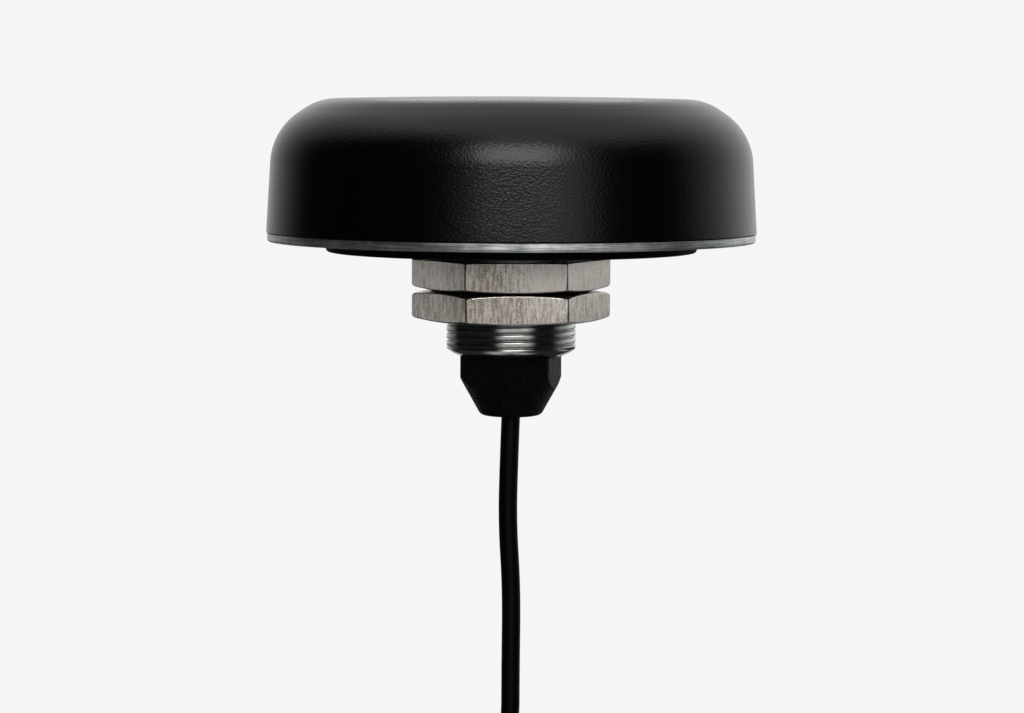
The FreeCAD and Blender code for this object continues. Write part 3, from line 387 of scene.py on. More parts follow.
def keep(*makers):
    """Makes each finish and keeps it under its function's name."""
    for make in makers:
        finishes[make.__name__] = make()
        print("finish:", make.__name__)


# %% [markdown]
# ### The pale room
# The world and the floor show one pale tone to the camera and to reflections. To matt surfaces
# the world is a dimmer sky, so that lamps and sky together light a colour at its own level. Near
# the object the floor is partly plain matt board, where it takes the soft shadow.

# %% Room and floor
PALE = (0.915, 0.915, 0.915)
SKY = (0.62, 0.62, 0.63)
FLOOR_LEVEL = cad_box[0][2] - 0.03
FLOOR_REACH = 3.0
FLOOR_MATT = 0.4
FLOOR_MATT_REACH = (0.55, 0.1)
CARD_ROUGHNESS = 0.9
QUARTERS = ((1, 1), (-1, 1), (-1, -1), (1, -1))


def seen_share(owner):
    """1 for what the camera, a reflection or clear material shows, and 0 for other light."""
    rays = owner.add("ShaderNodeLightPath").socket.node.outputs
    seen = Value(owner, rays["Is Camera Ray"])
    for ray in ("Is Glossy Ray", "Is Transmission Ray"):
        seen = seen.maths("MAXIMUM", Value(owner, rays[ray]))
    return seen


def floor_board():
    board = Finish("floor_board", PALE, CARD_ROUGHNESS)
    matt = Value(board, board.shader.outputs[0])
    glow = board.add("ShaderNodeEmission", {}, {"Color": PALE, "Strength": 1.0})
    x, y = board.axes()[:2]
    near_object = x.hypotenuse(y).clamped(*FLOOR_MATT_REACH) * FLOOR_MATT
    shown = board.add("ShaderNodeMixShader", {}, {0: near_object, 1: glow, 2: matt})
    mixed = board.add("ShaderNodeMixShader", {}, {0: seen_share(board), 1: matt, 2: shown})
    board.tree.links.new(mixed.socket, board.tree.nodes["Material Output"].inputs[0])
    return board.material


def stage_piece(name, corners, faces, material):
    """Part of the studio, which isn't part of the object."""
    mesh = bpy.data.meshes.new(name)
    mesh.from_pydata(corners, [], faces)
    mesh.materials.append(material)
    piece = bpy.data.objects.new(name, mesh)
    bpy.context.scene.collection.objects.link(piece)
    return piece


floor_corners = [(x * FLOOR_REACH, y * FLOOR_REACH, FLOOR_LEVEL) for x, y in QUARTERS]
stage_piece("studio_floor", floor_corners, [(0, 1, 2, 3)], floor_board())
print("floor at", round(FLOOR_LEVEL, 3), "m")

# %% The room's walls and sky are the world
world = bpy.data.worlds.new("pale_room")
bpy.context.scene.world = world
world.use_nodes = True
room = NodeTree(world.node_tree)
tone = room.blend(seen_share(room), SKY, PALE)
room.feed(room.tree.nodes["Background"].inputs["Color"], tone)
print("world:", world.name)

# %% [markdown]
# ### Black cards
# In a studio a dark, glossy part gets a black card at each side, a low one all round under it
# and a narrow strip in front. The cards show only as reflections. They give the radome its black
# flanks and a darker band across its wall, the thread its dark bands and the chamfers their
# depth, and they leave a light rim at each side, where the room behind is mirrored. Their edges
# fade, as a card close to the part is mirrored out of focus. The left card's top sags towards
# the back, so that the radome's left shoulder keeps some light.

# %% Cards
CARD_TONE = (0.007, 0.008, 0.0085)
CARD_PLACE = 0.55
CARD_STEPS = 36


def card_material(name, tone, cover):
    """A card of that tone where cover(card) is 1, and clear where it is 0."""
    card = Finish(name, tone, CARD_ROUGHNESS)
    clear = card.add("ShaderNodeBsdfTransparent")
    shown = card.add("ShaderNodeEmission", {}, {"Color": tone, "Strength": 1.0})
    mixed = card.add("ShaderNodeMixShader", {}, {0: cover(card), 1: clear, 2: shown})
    card.tree.links.new(mixed.socket, card.tree.nodes["Material Output"].inputs[0])
    return card.material


def only_mirrored(board):
    for ray in ("camera", "diffuse", "shadow", "transmission"):
        setattr(board, "visible_" + ray, False)


def curved_card(name, front, back, top, base=None, sag=(0.0, 1.0, 0.0)):
    """A card that fades at its edges, each given as (where it is full, where it is gone).

    The front and back edges are azimuths in degrees, the top and the base are heights. From the
    first azimuth of sag to the second, the top comes down by its third value.
    """

    def cover(card):
        x, y, z = card.axes()
        azimuth = x.maths("ARCTAN2", 0.0 - y).maths("DEGREES")
        share = (z + azimuth.clamped(sag[0], sag[1]) * sag[2]).clamped(top[1], top[0])
        if base:
            share = share * z.clamped(base[1], base[0])
        for full, gone in (front, back):
            if full != gone:
                share = share * azimuth.clamped(gone, full)
        return share

    corners = []
    for step in range(CARD_STEPS + 1):
        turn = math.radians(front[1] + (back[1] - front[1]) * step / CARD_STEPS)
        for level in (base[1] if base else FLOOR_LEVEL, top[1]):
            corners.append((CARD_PLACE * math.sin(turn), -CARD_PLACE * math.cos(turn), level))
    faces = [(2 * k, 2 * k + 1, 2 * k + 3, 2 * k + 2) for k in range(CARD_STEPS)]
    only_mirrored(stage_piece(name, corners, faces, card_material(name + "_board", CARD_TONE, cover)))
    print(name, "with", len(faces), "faces")


LEFT_SAG = (-61.0, -112.0, 0.30)
ALL_ROUND = ((-180.0, -180.0), (180.0, 180.0))
curved_card("left_card", front=(-28.0, -15.0), back=(-112.0, -168.0), top=(0.50, 1.10), sag=LEFT_SAG)
curved_card("right_card", front=(42.0, 28.0), back=(80.0, 130.0), top=(0.30, 0.66))
curved_card("low_card", *ALL_ROUND, top=(-0.085, -0.058), base=(-0.165, -0.18))
curved_card("front_strip", front=(-28.0, -28.0), back=(6.0, 28.0), top=(0.05, 0.12), base=(0.01, -0.015))

# %% [markdown]
# One more card lies on the floor under the part. It is dark grey and mostly clear in its middle,
# where the pale floor shows through and brightens the end of the stem.

# %% The card that lies on the floor
LYING_TONE = (0.03, 0.031, 0.033)
LYING_HOLE = (0.055, 0.10)
LYING_LEAST = 0.3
LYING_LIFT = 0.002
LYING_CORNERS = 16
lying = []
for corner in range(LYING_CORNERS):
    turn = 2 * math.pi * corner / LYING_CORNERS
    lying.append((CARD_PLACE * math.sin(turn), CARD_PLACE * math.cos(turn), FLOOR_LEVEL + LYING_LIFT))


def lying_cover(card):
    """Full outside the hole in the middle, where only the least share is left."""
    x, y = card.axes()[:2]
    away = x.hypotenuse(y).clamped(*LYING_HOLE)
    return away * (1 - LYING_LEAST) + LYING_LEAST


lying_board = card_material("lying_board", LYING_TONE, lying_cover)
only_mirrored(stage_piece("lying_card", lying, [tuple(range(LYING_CORNERS))], lying_board))
print("lying card:", LYING_CORNERS, "corners")


# %% [markdown]
# ## Finishes
# Each finish is one material with the grain, brushing or wear of the real surface.
#
# ### Moulded black
# The radome is black plastic from a mould that was etched to a fine grain, so its gloss breaks up
# into specks. A noise and a layer of cells make that grain together, in the roughness and in a
# shallow bump. The base colour stays plain, because a moulding's colour runs through it.

# %% Moulded black radome
def moulded_black():
    finish = Finish("moulded_black", (0.0006, 0.0006, 0.0006), roughness=0.34, IOR=1.4)
    place = finish.stretched(1.0, 1.0, 1.45)
    coarse = finish.noise(2650.0, detail=1.5, place=place)
    pits = finish.cells(2900.0, "SMOOTH_F1", place)
    finish.drive(Roughness=coarse * 0.12 + 0.18)
    finish.bumped(coarse * 0.5 + pits * 0.6, depth=0.033 * MM)
    return finish.material


keep(moulded_black)


# %% [markdown]
# ### Zinc plating
# The base plate is turned, then zinc plated. The tool leaves fine rings round the axis, and the
# zinc clouds over in patches. One noise is drawn out along the rings, and a second adds the
# clouds. At one place on the rim the plating is made less of a metal, so that it scatters the
# lamps' light there as a painted highlight.

# %% Zinc plating
ZINC_METALLIC = 0.96
RIM_HIGHLIGHT_PLACE = (8.0 * MM, -33.0 * MM, 0.0)


def zinc_plating():
    finish = Finish("zinc_plating", (0.50, 0.53, 0.56), roughness=0.32, metallic=ZINC_METALLIC)
    x, y, z = finish.axes()
    across = x.hypotenuse(y) + z
    round_place = finish.add("ShaderNodeCombineXYZ", {}, {0: x * 170.0, 1: y * 170.0, 2: across * 5600.0})
    brushing = finish.noise(1.0, detail=4.0, roughness=0.65, place=round_place)
    cloud = finish.noise(420.0, detail=4.0, roughness=0.65)
    bright = brushing.clamped(0.36, 0.60) * 0.6 + cloud.clamped(0.35, 0.66) * 0.4
    finish.coloured(bright, (0.16, 0.18, 0.195), (0.80, 0.82, 0.83))
    # A painted highlight: one spot on the rim is less metallic, so it scatters the lamps' light and looks
    # brighter.
    painted_highlight = finish.near(RIM_HIGHLIGHT_PLACE, reach=15.0 * MM, core=5.0 * MM)
    finish.drive(Roughness=brushing * 0.2 + cloud * 0.2 + 0.14, Metallic=ZINC_METALLIC - painted_highlight * 0.3)
    finish.bumped(brushing, depth=0.02 * MM, strength=0.8)
    return finish.material


keep(zinc_plating)


# %% [markdown]
# ### Black rubber
# The gasket and the seals are black rubber with a matt, slightly dusty skin. A fine noise varies
# the roughness and gives a faint bump, and a low IOR keeps the reflections weak.

# %% Black rubber
def black_rubber():
    finish = Finish("black_rubber", (0.0010, 0.0010, 0.0010), roughness=0.7, IOR=1.2)
    grain = finish.noise(1800.0, detail=3.0, roughness=0.6)
    finish.drive(Roughness=grain * 0.2 + 0.6)
    finish.bumped(grain, depth=0.02 * MM, strength=0.5)
    return finish.material


keep(black_rubber)


# %% [markdown]
# ### Nickel on the nuts
# The nuts' flats are drawn bar under thin nickel. They show upright streaks, pits and a warm
# scale, and much of their light is scattered, so their Metallic is under a half. The front flats
# have painted shade at their left and a painted highlight at their right, and the upper nut is
# painted lighter than the lower one. The worn edges and the turned faces are bare bright metal
# with small nicks, which is a second finish.

# %% Nickel-plated nuts
# Where the painted shade and the painted highlight sit on the front flats, and the level between the nuts
# above which the colour is painted lighter.
PAINTED_SHADE_PLACE = (-4.6 * MM, -12.0 * MM, -3.2 * MM)
PAINTED_HIGHLIGHT_PLACE = (4.6 * MM, -12.0 * MM, -4.4 * MM)
BETWEEN_NUTS = (-5.7 * MM, -5.1 * MM)


def nut_nickel():
    finish = Finish("nut_nickel", (0.64, 0.58, 0.54), roughness=0.42, metallic=0.45)
    upright = finish.stretched(3300.0, 3300.0, 420.0)
    streaks = finish.noise(1.0, detail=4.0, roughness=0.7, place=upright)
    pits = finish.noise(4300.0, roughness=0.6)
    scale = finish.noise(260.0, detail=3.0, roughness=0.6)
    marks = streaks * 0.65 + pits * 0.35
    # Painted light in the colour: painted shade at the left of the front flats, a painted highlight at
    # their right, and the upper nut painted lighter than the lower one.
    darker = finish.near(PAINTED_SHADE_PLACE, reach=8.5 * MM, core=2.0 * MM) * 0.5
    lighter = finish.near(PAINTED_HIGHLIGHT_PLACE, reach=6.0 * MM, core=2.0 * MM) * 0.2
    upper_nut_painted_light = finish.axes()[2].clamped(*BETWEEN_NUTS) * 0.32
    shade = marks.clamped(0.40, 0.58) - darker + lighter + upper_nut_painted_light + scale * 0.2 - 0.06
    finish.coloured(shade, (0.35, 0.30, 0.245), (0.95, 0.875, 0.80))
    finish.drive(Roughness=marks * 0.24 + scale * 0.1 + 0.2)
    finish.bumped(marks, depth=0.17 * MM)
    return finish.material


# %% Bright edges of the nuts
def nut_edge():
    finish = Finish("nut_edge", (0.72, 0.69, 0.65), roughness=0.2, metallic=1.0)
    nicks = finish.noise(2600.0, detail=3.0, roughness=0.7)
    finish.drive(Roughness=nicks * 0.3 + 0.06)
    finish.bumped(nicks, depth=0.04 * MM, strength=0.8)
    return finish.material


keep(nut_nickel, nut_edge)


# %% [markdown]
# ### Steel of the stem and the washer
# The stem is turned, and the tool's marks run round it as fine level lines: a noise that is
# squeezed along Z. The lock washer is dark spring steel that has rubbed in places, so one coarse
# grain takes both its tone and its roughness.

# %% Turned steel of the thread
def thread_steel():
    finish = Finish("thread_steel", (0.50, 0.51, 0.49), roughness=0.2, metallic=1.0)
    lines = finish.noise(1.0, detail=3.0, roughness=0.6, place=finish.stretched(260.0, 260.0, 7000.0))
    cloud = finish.noise(700.0, detail=3.0, roughness=0.6)
    finish.coloured(cloud, (0.36, 0.37, 0.36), (0.62, 0.63, 0.60))
    finish.drive(Roughness=lines * 0.12 + cloud * 0.10 + 0.06)
    finish.bumped(lines, depth=0.008 * MM, strength=0.6)
    return finish.material


# %% Spring steel of the lock washer
def washer_steel():
    finish = Finish("washer_steel", (0.30, 0.29, 0.27), roughness=0.45, metallic=1.0)
    grain = finish.noise(2600.0, detail=4.0, roughness=0.7)
    finish.coloured(grain.clamped(0.35, 0.65), (0.20, 0.19, 0.175), (0.44, 0.42, 0.39))
    finish.drive(Roughness=grain * 0.3 + 0.32)
    finish.bumped(grain, depth=0.03 * MM, strength=0.8)
    return finish.material


keep(thread_steel, washer_steel)


# %% [markdown]
# ### Black nylon and the cable's jacket
# The gland is moulded nylon with a coarse, sparked skin: a strong bump breaks its gloss into
# specks. The jacket is a smoother soft plastic. Both are nearly black, and a low IOR keeps their
# reflections weak.

# %% Gland and jacket
def gland_nylon():
    finish = Finish("gland_nylon", (0.0004, 0.0004, 0.0004), roughness=0.42, IOR=1.22)
    grain = finish.noise(3800.0, roughness=0.6)
    finish.drive(Roughness=grain * 0.15 + 0.34)
    finish.bumped(grain, depth=0.4 * MM)
    return finish.material


def cable_jacket():
    finish = Finish("cable_jacket", (0.0008, 0.0008, 0.0008), roughness=0.4, IOR=1.22)
    grain = finish.noise(1500.0)
    finish.drive(Roughness=grain * 0.15 + 0.33)
    finish.bumped(grain, depth=0.01 * MM, strength=0.5)
    return finish.material


keep(gland_nylon, cable_jacket)
cable.data.materials.append(finishes["cable_jacket"])


# %% [markdown]
# ### The cable's fittings
# The ties are extruded vinyl, with long faint lines. The plug's body is moulded with a fine
# sparked surface, and its shell is drawn steel, rubbed a little by use.

# %% Ties and plug
def tie_vinyl():
    finish = Finish("tie_vinyl", (0.006, 0.006, 0.006), roughness=0.45, IOR=1.45)
    grain = finish.noise(1.0, detail=3.0, roughness=0.6, place=finish.stretched(3000.0, 900.0, 900.0))
    finish.coloured(grain.clamped(0.35, 0.7), (0.003, 0.003, 0.003), (0.012, 0.012, 0.012))
    finish.drive(Roughness=grain * 0.3 + 0.25)
    finish.bumped(grain, depth=0.03 * MM, strength=0.8)
    return finish.material


def plug_mould():
    finish = Finish("plug_mould", (0.004, 0.004, 0.0042), roughness=0.5, IOR=1.42)
    spark = finish.noise(5200.0, roughness=0.6)
    cloud = finish.noise(240.0, detail=3.0, roughness=0.6)
    finish.coloured(cloud, (0.003, 0.003, 0.0032), (0.008, 0.008, 0.0082))
    finish.drive(Roughness=spark * 0.2 + cloud * 0.12 + 0.32)
    finish.bumped(spark, depth=0.05 * MM, strength=0.9)
    return finish.material


def plug_steel():
    finish = Finish("plug_steel", (0.62, 0.61, 0.59), roughness=0.3, metallic=1.0)
    drawn = finish.noise(1.0, detail=3.0, roughness=0.6, place=finish.stretched(4200.0, 4200.0, 260.0))
    lighter = finish.noise(330.0, detail=4.0, roughness=0.6)
    finish.coloured(lighter.clamped(0.3, 0.7), (0.62, 0.61, 0.59), (0.74, 0.73, 0.71))
    finish.drive(Roughness=drawn * 0.08 + lighter * 0.1 + 0.14)
    finish.bumped(drawn, depth=0.006 * MM, strength=0.6)
    return finish.material


keep(tie_vinyl, plug_mould, plug_steel)

# %% [markdown]
# ### The parts inside
# Under the radome a green circuit board carries the ceramic patch. A board's look is its solder
# mask: groups of copper tracks show through it as lighter lines along X or Y, and a row of tinned
# holes follows the rim, where they join the ground on both faces. The patch is fired ceramic with
# faint grey and tan specks, and its electrode is silver paste that a squeegee has printed in one
# direction.

# %% Circuit board
HOLE_ROW_RADIUS = 28.9 * MM
HOLES_IN_ROW = 64
HOLE_EDGE = (0.44 * MM, 0.36 * MM)
TRACK_LINES = 820.0
TRACK_EDGE = (0.66, 0.72)


def board_laminate():
    finish = Finish("board_laminate", (0.01, 0.075, 0.03), roughness=0.3, IOR=1.5)
    x, y = finish.axes()[:2]
    along_x, along_y = [(axis * TRACK_LINES).maths("FRACT").clamped(*TRACK_EDGE) for axis in (y, x)]
    way = finish.noise(150.0, detail=1.0).clamped(0.49, 0.51)
    shown = finish.noise(230.0, detail=1.0, place=finish.stretched(1.0, 1.0, 40.0)).clamped(0.50, 0.51)
    tracks = (along_x * way + along_y * (1 - way)) * shown
    step = (y.maths("ARCTAN2", x) * (HOLES_IN_ROW / (2 * math.pi))).maths("FRACT") - 0.5
    beside = step * (2 * math.pi * HOLE_ROW_RADIUS / HOLES_IN_ROW)
    outward = x.hypotenuse(y) - HOLE_ROW_RADIUS
    row = beside.hypotenuse(outward).clamped(*HOLE_EDGE)
    holes = row.maths("MAXIMUM", finish.cells(300.0).clamped(0.13, 0.10))
    weave = finish.noise(900.0, detail=3.0, roughness=0.6)
    mask = finish.blend(tracks * 0.7 + weave * 0.2, (0.006, 0.055, 0.022), (0.03, 0.17, 0.07))
    finish.coloured(holes, mask, (0.56, 0.55, 0.50))
    finish.drive(Roughness=weave * 0.2 + 0.18, Metallic=holes)
    finish.bumped(tracks * 0.7 + weave * 0.1 - holes * 0.3, depth=0.05 * MM, strength=0.8)
    return finish.material


# %% Ceramic and printed silver
def patch_ceramic():
    finish = Finish("patch_ceramic", (0.70, 0.62, 0.50), roughness=0.6)
    specks = finish.noise(2600.0, detail=3.0, roughness=0.7).clamped(0.60, 0.72)
    cloud = finish.noise(300.0, detail=3.0)
    body = finish.blend(cloud, (0.62, 0.54, 0.43), (0.74, 0.66, 0.54))
    finish.coloured(specks * 0.5, body, (0.34, 0.30, 0.25))
    finish.drive(Roughness=cloud * 0.2 + 0.5)
    finish.bumped(cloud + specks, depth=0.015 * MM, strength=0.8)
    return finish.material


def silver_print():
    finish = Finish("silver_print", (0.80, 0.79, 0.76), roughness=0.4, metallic=1.0)
    drawn = finish.noise(1.0, detail=4.0, roughness=0.65, place=finish.stretched(240.0, 3600.0, 3600.0))
    paste = finish.noise(5000.0, roughness=0.6)
    finish.coloured(drawn, (0.66, 0.65, 0.61), (0.86, 0.85, 0.82))
    finish.drive(Roughness=paste * 0.2 + drawn * 0.15 + 0.25)
    finish.bumped(drawn * 0.5 + paste * 0.5, depth=0.02 * MM, strength=0.8)
    return finish.material


keep(board_laminate, patch_ceramic, silver_print)

# %% [markdown]
# ### Small metal and plastic parts
# The screening cans, screws, cell, contacts and connectors are small, so two recipes serve them.
# Rolled or drawn metal has fine lines one way and a cloudy tarnish. Moulded plastic has a fine
# grain and a faint change of tone. Each takes its own colour from the record.

# %% Finishes for the other nodes
def rolled_metal(slot_name, base):
    finish = Finish(slot_name, base, roughness=0.32, metallic=1.0)
    rolled = finish.noise(1.0, detail=4.0, roughness=0.65, place=finish.stretched(4200.0, 380.0, 4200.0))
    tarnish = finish.noise(520.0, detail=4.0, roughness=0.6)
    darker = [0.72 * part for part in base]
    finish.coloured(rolled * 0.4 + tarnish.clamped(0.3, 0.7) * 0.5, base, darker)
    finish.drive(Roughness=rolled * 0.16 + tarnish * 0.22 + 0.12)
    finish.bumped(rolled, depth=0.012 * MM, strength=0.8)
    return finish.material


def moulded_plastic(slot_name, base):
    finish = Finish(slot_name, base, roughness=0.5)
    grain = finish.noise(3800.0, roughness=0.6)
    cloud = finish.noise(260.0, detail=3.0)
    deep = [0.78 * part for part in base]
    finish.coloured(cloud * 0.7 + grain * 0.3, base, deep)
    finish.drive(Roughness=grain * 0.2 + cloud * 0.15 + 0.3)
    finish.bumped(grain, depth=0.02 * MM, strength=0.8)
    return finish.material


METALS = ("brushed_steel", "brass", "chrome", "aluminium")
for entry in frame["record"]["materials"]:
    name = entry["slot"]
    if name not in finishes:
        make = rolled_metal if entry["class"] in METALS else moulded_plastic
        finishes[name] = make(name, entry["base_color"])

slot_of = {part["node"]: part["material_slot"] for part in frame["record"]["subparts"]}
for name, thing in node.items():
    for place in thing.material_slots:
        place.material = finishes[slot_of[name]]
print("finishes:", len(finishes))


# %% [markdown]
# ## Meshes made of rings
# Everything round or hexagonal on this object can be made from rings of points that go round
# its axis, each ring joined to the next. That gives exact control over a chamfer or a thread,
# with no boolean cuts. A few helpers make rings from a section, join them and turn the mesh into
# a piece, so that a piece below is mostly a list of its own section.

# %% Helpers: rings, and the faces between them
def even_angles(count):
    return [2 * math.pi * index / count for index in range(count)]


def ring(angles, radius, level):
    """Points round the Z axis. The radius may depend on the angle."""
    reach = [radius(angle) if callable(radius) else radius for angle in angles]
    return [Vector((r * math.cos(a), r * math.sin(a), level)) for r, a in zip(reach, angles)]


def turned(angles, section):
    """A ring for each (radius, level) of a section."""
    return [ring(angles, radius, level) for radius, level in section]


def join_rings(shape, rings, closed=True):
    """Joins each ring to the next one and, where closed, the last one to the first."""
    grid = [[shape.verts.new(point) for point in points] for points in rings]
    pairs = list(zip(grid, grid[1:] + grid[:1]))
    for near, far in pairs if closed else pairs[:-1]:
        for index in range(len(near)):
            after = (index + 1) % len(near)
            shape.faces.new((near[index], near[after], far[after], far[index]))
    return grid


# %% Helper: a mesh becomes a piece
SMOOTH_ANGLE = math.radians(28)
WELD = 1e-7


def mesh_piece(name, shape, finish, body, *replaced, edges=None):
    """Cleans the shape and makes it a piece that rides on a body. edges is a second finish."""
    bmesh.ops.remove_doubles(shape, verts=shape.verts, dist=WELD)
    bmesh.ops.dissolve_degenerate(shape, dist=WELD, edges=shape.edges)
    bmesh.ops.recalc_face_normals(shape, faces=shape.faces)
    for face in shape.faces:
        face.smooth = True
    for edge in shape.edges:
        edge.smooth = len(edge.link_faces) == 2 and edge.calc_face_angle(0.0) < SMOOTH_ANGLE
    mesh = bpy.data.meshes.new(name)
    shape.to_mesh(mesh)
    shape.free()
    for used in filter(None, (finish, edges)):
        mesh.materials.append(finishes[used])
    piece = bpy.data.objects.new(name, mesh)
    bpy.context.scene.collection.objects.link(piece)
    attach(piece, body)
    if replaced:
        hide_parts(*replaced)
    print(name, len(mesh.polygons), "faces")
    return piece


# %% [markdown]
# ## The threaded stem
# The stem is turned from steel bar and has an 18 mm thread with a 1 mm pitch. A stack of plain
# grooves would look like one at first sight, but a real thread climbs. So the rows of points
# follow the helix: each column of points round the stem sits a little higher than the last one,
# and after one turn it meets the column that started a pitch above. Crests and roots stay crisp,
# because no face ever crosses them. Plating has filled the roots and worn the crests flat, so the
# grooves are shallow and narrower than the lands, and the last turn before the end is smooth.

# %% Thread sizes
THREAD_PITCH = 1.0 * MM
THREAD_DEPTH = 0.27 * MM
THREAD_PROFILE = [
    (0.00, 0.02), (0.10, 0.0), (0.50, 0.0), (0.60, 0.03), (0.66, 0.14), (0.71, 0.45),
    (0.76, 0.86), (0.80, 1.0), (0.84, 0.86), (0.89, 0.45), (0.94, 0.14),
]
STEM_RADIUS = 9.0 * MM
stem_low, stem_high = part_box("threaded_stem")
stem_end = stem_low.z
print("stem from", round(stem_end / MM, 2), "to", round(stem_high.z / MM, 2), "mm")


# %% Helpers: a thread as rows of points
SAME_SPOT = 1e-9


def unlike(corners):
    """The corners without those that lie on an earlier one."""
    kept = []
    for corner in corners:
        if all((corner.co - other.co).length > SAME_SPOT for other in kept):
            kept.append(corner)
    return kept


def thread_rows(shape, columns, first, last, radius_at):
    """Points that follow the helix from the first level to the last, and the faces between them.

    The profile gives each row its share of the pitch and its share of the thread's depth, and
    radius_at(depth share, level) gives the radius.
    """
    rows = []
    level = first - THREAD_PITCH
    while level < last:
        for phase, depth in THREAD_PROFILE:
            rows.append((level + phase * THREAD_PITCH, depth))
        level += THREAD_PITCH
    grid = []
    for start, depth in rows:
        line = []
        for column, angle in enumerate(even_angles(columns)):
            height = min(max(start + THREAD_PITCH * column / columns, first), last)
            radius = radius_at(depth, height)
            line.append(shape.verts.new((radius * math.cos(angle), radius * math.sin(angle), height)))
        grid.append(line)
    top = len(rows) - 1
    turn = len(THREAD_PROFILE)
    # After a whole turn a row has climbed one pitch, so it meets the row one profile further up.
    for row in range(top):
        for column in range(columns):
            if column + 1 < columns:
                far, far_up = grid[row][column + 1], grid[row + 1][column + 1]
            else:
                far, far_up = grid[min(row + turn, top)][0], grid[min(row + turn + 1, top)][0]
            corners = unlike([grid[row][column], far, far_up, grid[row + 1][column]])
            if len(corners) > 2:
                shape.faces.new(corners)


# %% The stem's outside
END_STEP = 1.9 * MM
END_HEIGHT = 1.2 * MM
END_BEND = 1.6
SMOOTH_END = (1.0 * MM, 1.5 * MM)
THREAD_RUNOUT = 0.6 * THREAD_PITCH
thread_top = -0.1 * MM


def end_limit(level):
    """The radius that the rounded lower end allows at a level."""
    share = min((level - stem_end) / END_HEIGHT, 1.0)
    return STEM_RADIUS - END_STEP * (1 - share) ** END_BEND


def stem_surface(depth, level):
    """The thread fades out below the head and above the smooth end."""
    above_end = clipped((level - stem_end - SMOOTH_END[0]) / (SMOOTH_END[1] - SMOOTH_END[0]))
    below_head = clipped((thread_top - level) / THREAD_RUNOUT)
    cut = THREAD_DEPTH * depth * min(above_end, below_head)
    return min(STEM_RADIUS - cut, end_limit(level))


# %% Helper: a hexagon
SIXTH_TURN = math.pi / 3


def from_corner(angle, turn):
    """How far a direction is from the nearest corner of a hexagon that is turned that much."""
    return (angle - turn + SIXTH_TURN / 2) % SIXTH_TURN - SIXTH_TURN / 2


def hexagon(flats, turn=0.0, corner_round=0.0):
    """A radius for each angle: a hexagon whose corners are rounded."""
    half = flats / 2
    centre = (half - corner_round) / math.cos(SIXTH_TURN / 2)
    tangent = math.atan2(corner_round / 2, centre + corner_round * math.cos(SIXTH_TURN / 2))

    def radius(angle):
        away = from_corner(angle, turn)
        swing = corner_round ** 2 - (centre * math.sin(away)) ** 2
        if swing > 0 and abs(away) < tangent:
            return centre * math.cos(away) + math.sqrt(swing)
        return half / math.cos(SIXTH_TURN / 2 - abs(away))

    return radius


# %% The stem with its head and its hollow
STEM_COLUMNS = 160
PASSAGE_RADIUS = 4.6 * MM
SOCKET_RADIUS = 6.0 * MM
SOCKET_TOP = -4.5 * MM
SOCKET_CHAMFER = 0.3 * MM
HEAD_HEIGHT = 2.4 * MM
head_base = stem_high.z - HEAD_HEIGHT
head_radius = hexagon(20.0 * MM)
stem_section = [
    (STEM_RADIUS, thread_top),
    (STEM_RADIUS, head_base),
    (head_radius, head_base),
    (head_radius, stem_high.z),
    (PASSAGE_RADIUS, stem_high.z),
    (PASSAGE_RADIUS, SOCKET_TOP),
    (SOCKET_RADIUS, SOCKET_TOP),
    (SOCKET_RADIUS, stem_end + SOCKET_CHAMFER),
    (SOCKET_RADIUS + SOCKET_CHAMFER, stem_end),
    (end_limit(stem_end), stem_end),
]
stem_shape = bmesh.new()
thread_rows(stem_shape, STEM_COLUMNS, stem_end, thread_top, stem_surface)
join_rings(stem_shape, turned(even_angles(STEM_COLUMNS), stem_section), closed=False)
mesh_piece("stem_with_thread", stem_shape, "thread_steel", "receiver", "threaded_stem")

# %% [markdown]
# ### The gland's threaded neck
# The cap screws onto a nylon neck below the stem, which shows only when the cap is undone. Its
# moulded thread has the cap's pitch of one millimetre a turn, and it fades out under the
# shoulder, where the mould can't cut. The neck and the plug that holds it in the stem are one
# turned section, so the thread's rows go on into plain rings.

# %% Gland neck
NECK_RADIUS = 5.0 * MM
NECK_BORE = 3.65 * MM
CABLE_BORE = 1.45 * MM
NECK_COLUMNS = 96
NECK_CHAMFER = 0.4 * MM
NECK_THREAD_DEPTH = 0.3 * MM
NECK_RUNOUT = 0.5 * MM
CLAMP_ROOM = 0.1 * MM
gland_low, gland_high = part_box("gland_body")
clamp_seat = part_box("gland_clamp")[1].z + CLAMP_ROOM
neck_thread_top = stem_end - 0.3 * MM


def neck_surface(depth, level):
    """Its radius at a level: the thread's depth there, less the chamfer at the open end."""
    fade = clipped((neck_thread_top - level) / NECK_RUNOUT)
    chamfer = max(NECK_CHAMFER - (level - gland_low.z), 0.0)
    return min(NECK_RADIUS - NECK_THREAD_DEPTH * depth * fade, NECK_RADIUS - chamfer)


neck_section = [
    (NECK_RADIUS, stem_end),
    (gland_high.x, stem_end),
    (gland_high.x, gland_high.z),
    (CABLE_BORE, gland_high.z),
    (CABLE_BORE, clamp_seat),
    (NECK_BORE, clamp_seat),
    (NECK_BORE, gland_low.z),
    (NECK_RADIUS - NECK_CHAMFER, gland_low.z),
]
neck_shape = bmesh.new()
thread_rows(neck_shape, NECK_COLUMNS, gland_low.z, stem_end, neck_surface)
join_rings(neck_shape, turned(even_angles(NECK_COLUMNS), neck_section), closed=False)
mesh_piece("gland_neck", neck_shape, "gland_nylon", "receiver", "gland_body")

# %% [markdown]
# ## The gasket
# A flat ring of black rubber seals the receiver against the panel. A plain washer would do, but
# a moulded one seals better with less force: a lip round its outer edge and two low ribs stand a
# little proud of its underside and are squeezed first. It is one section turned round the axis.

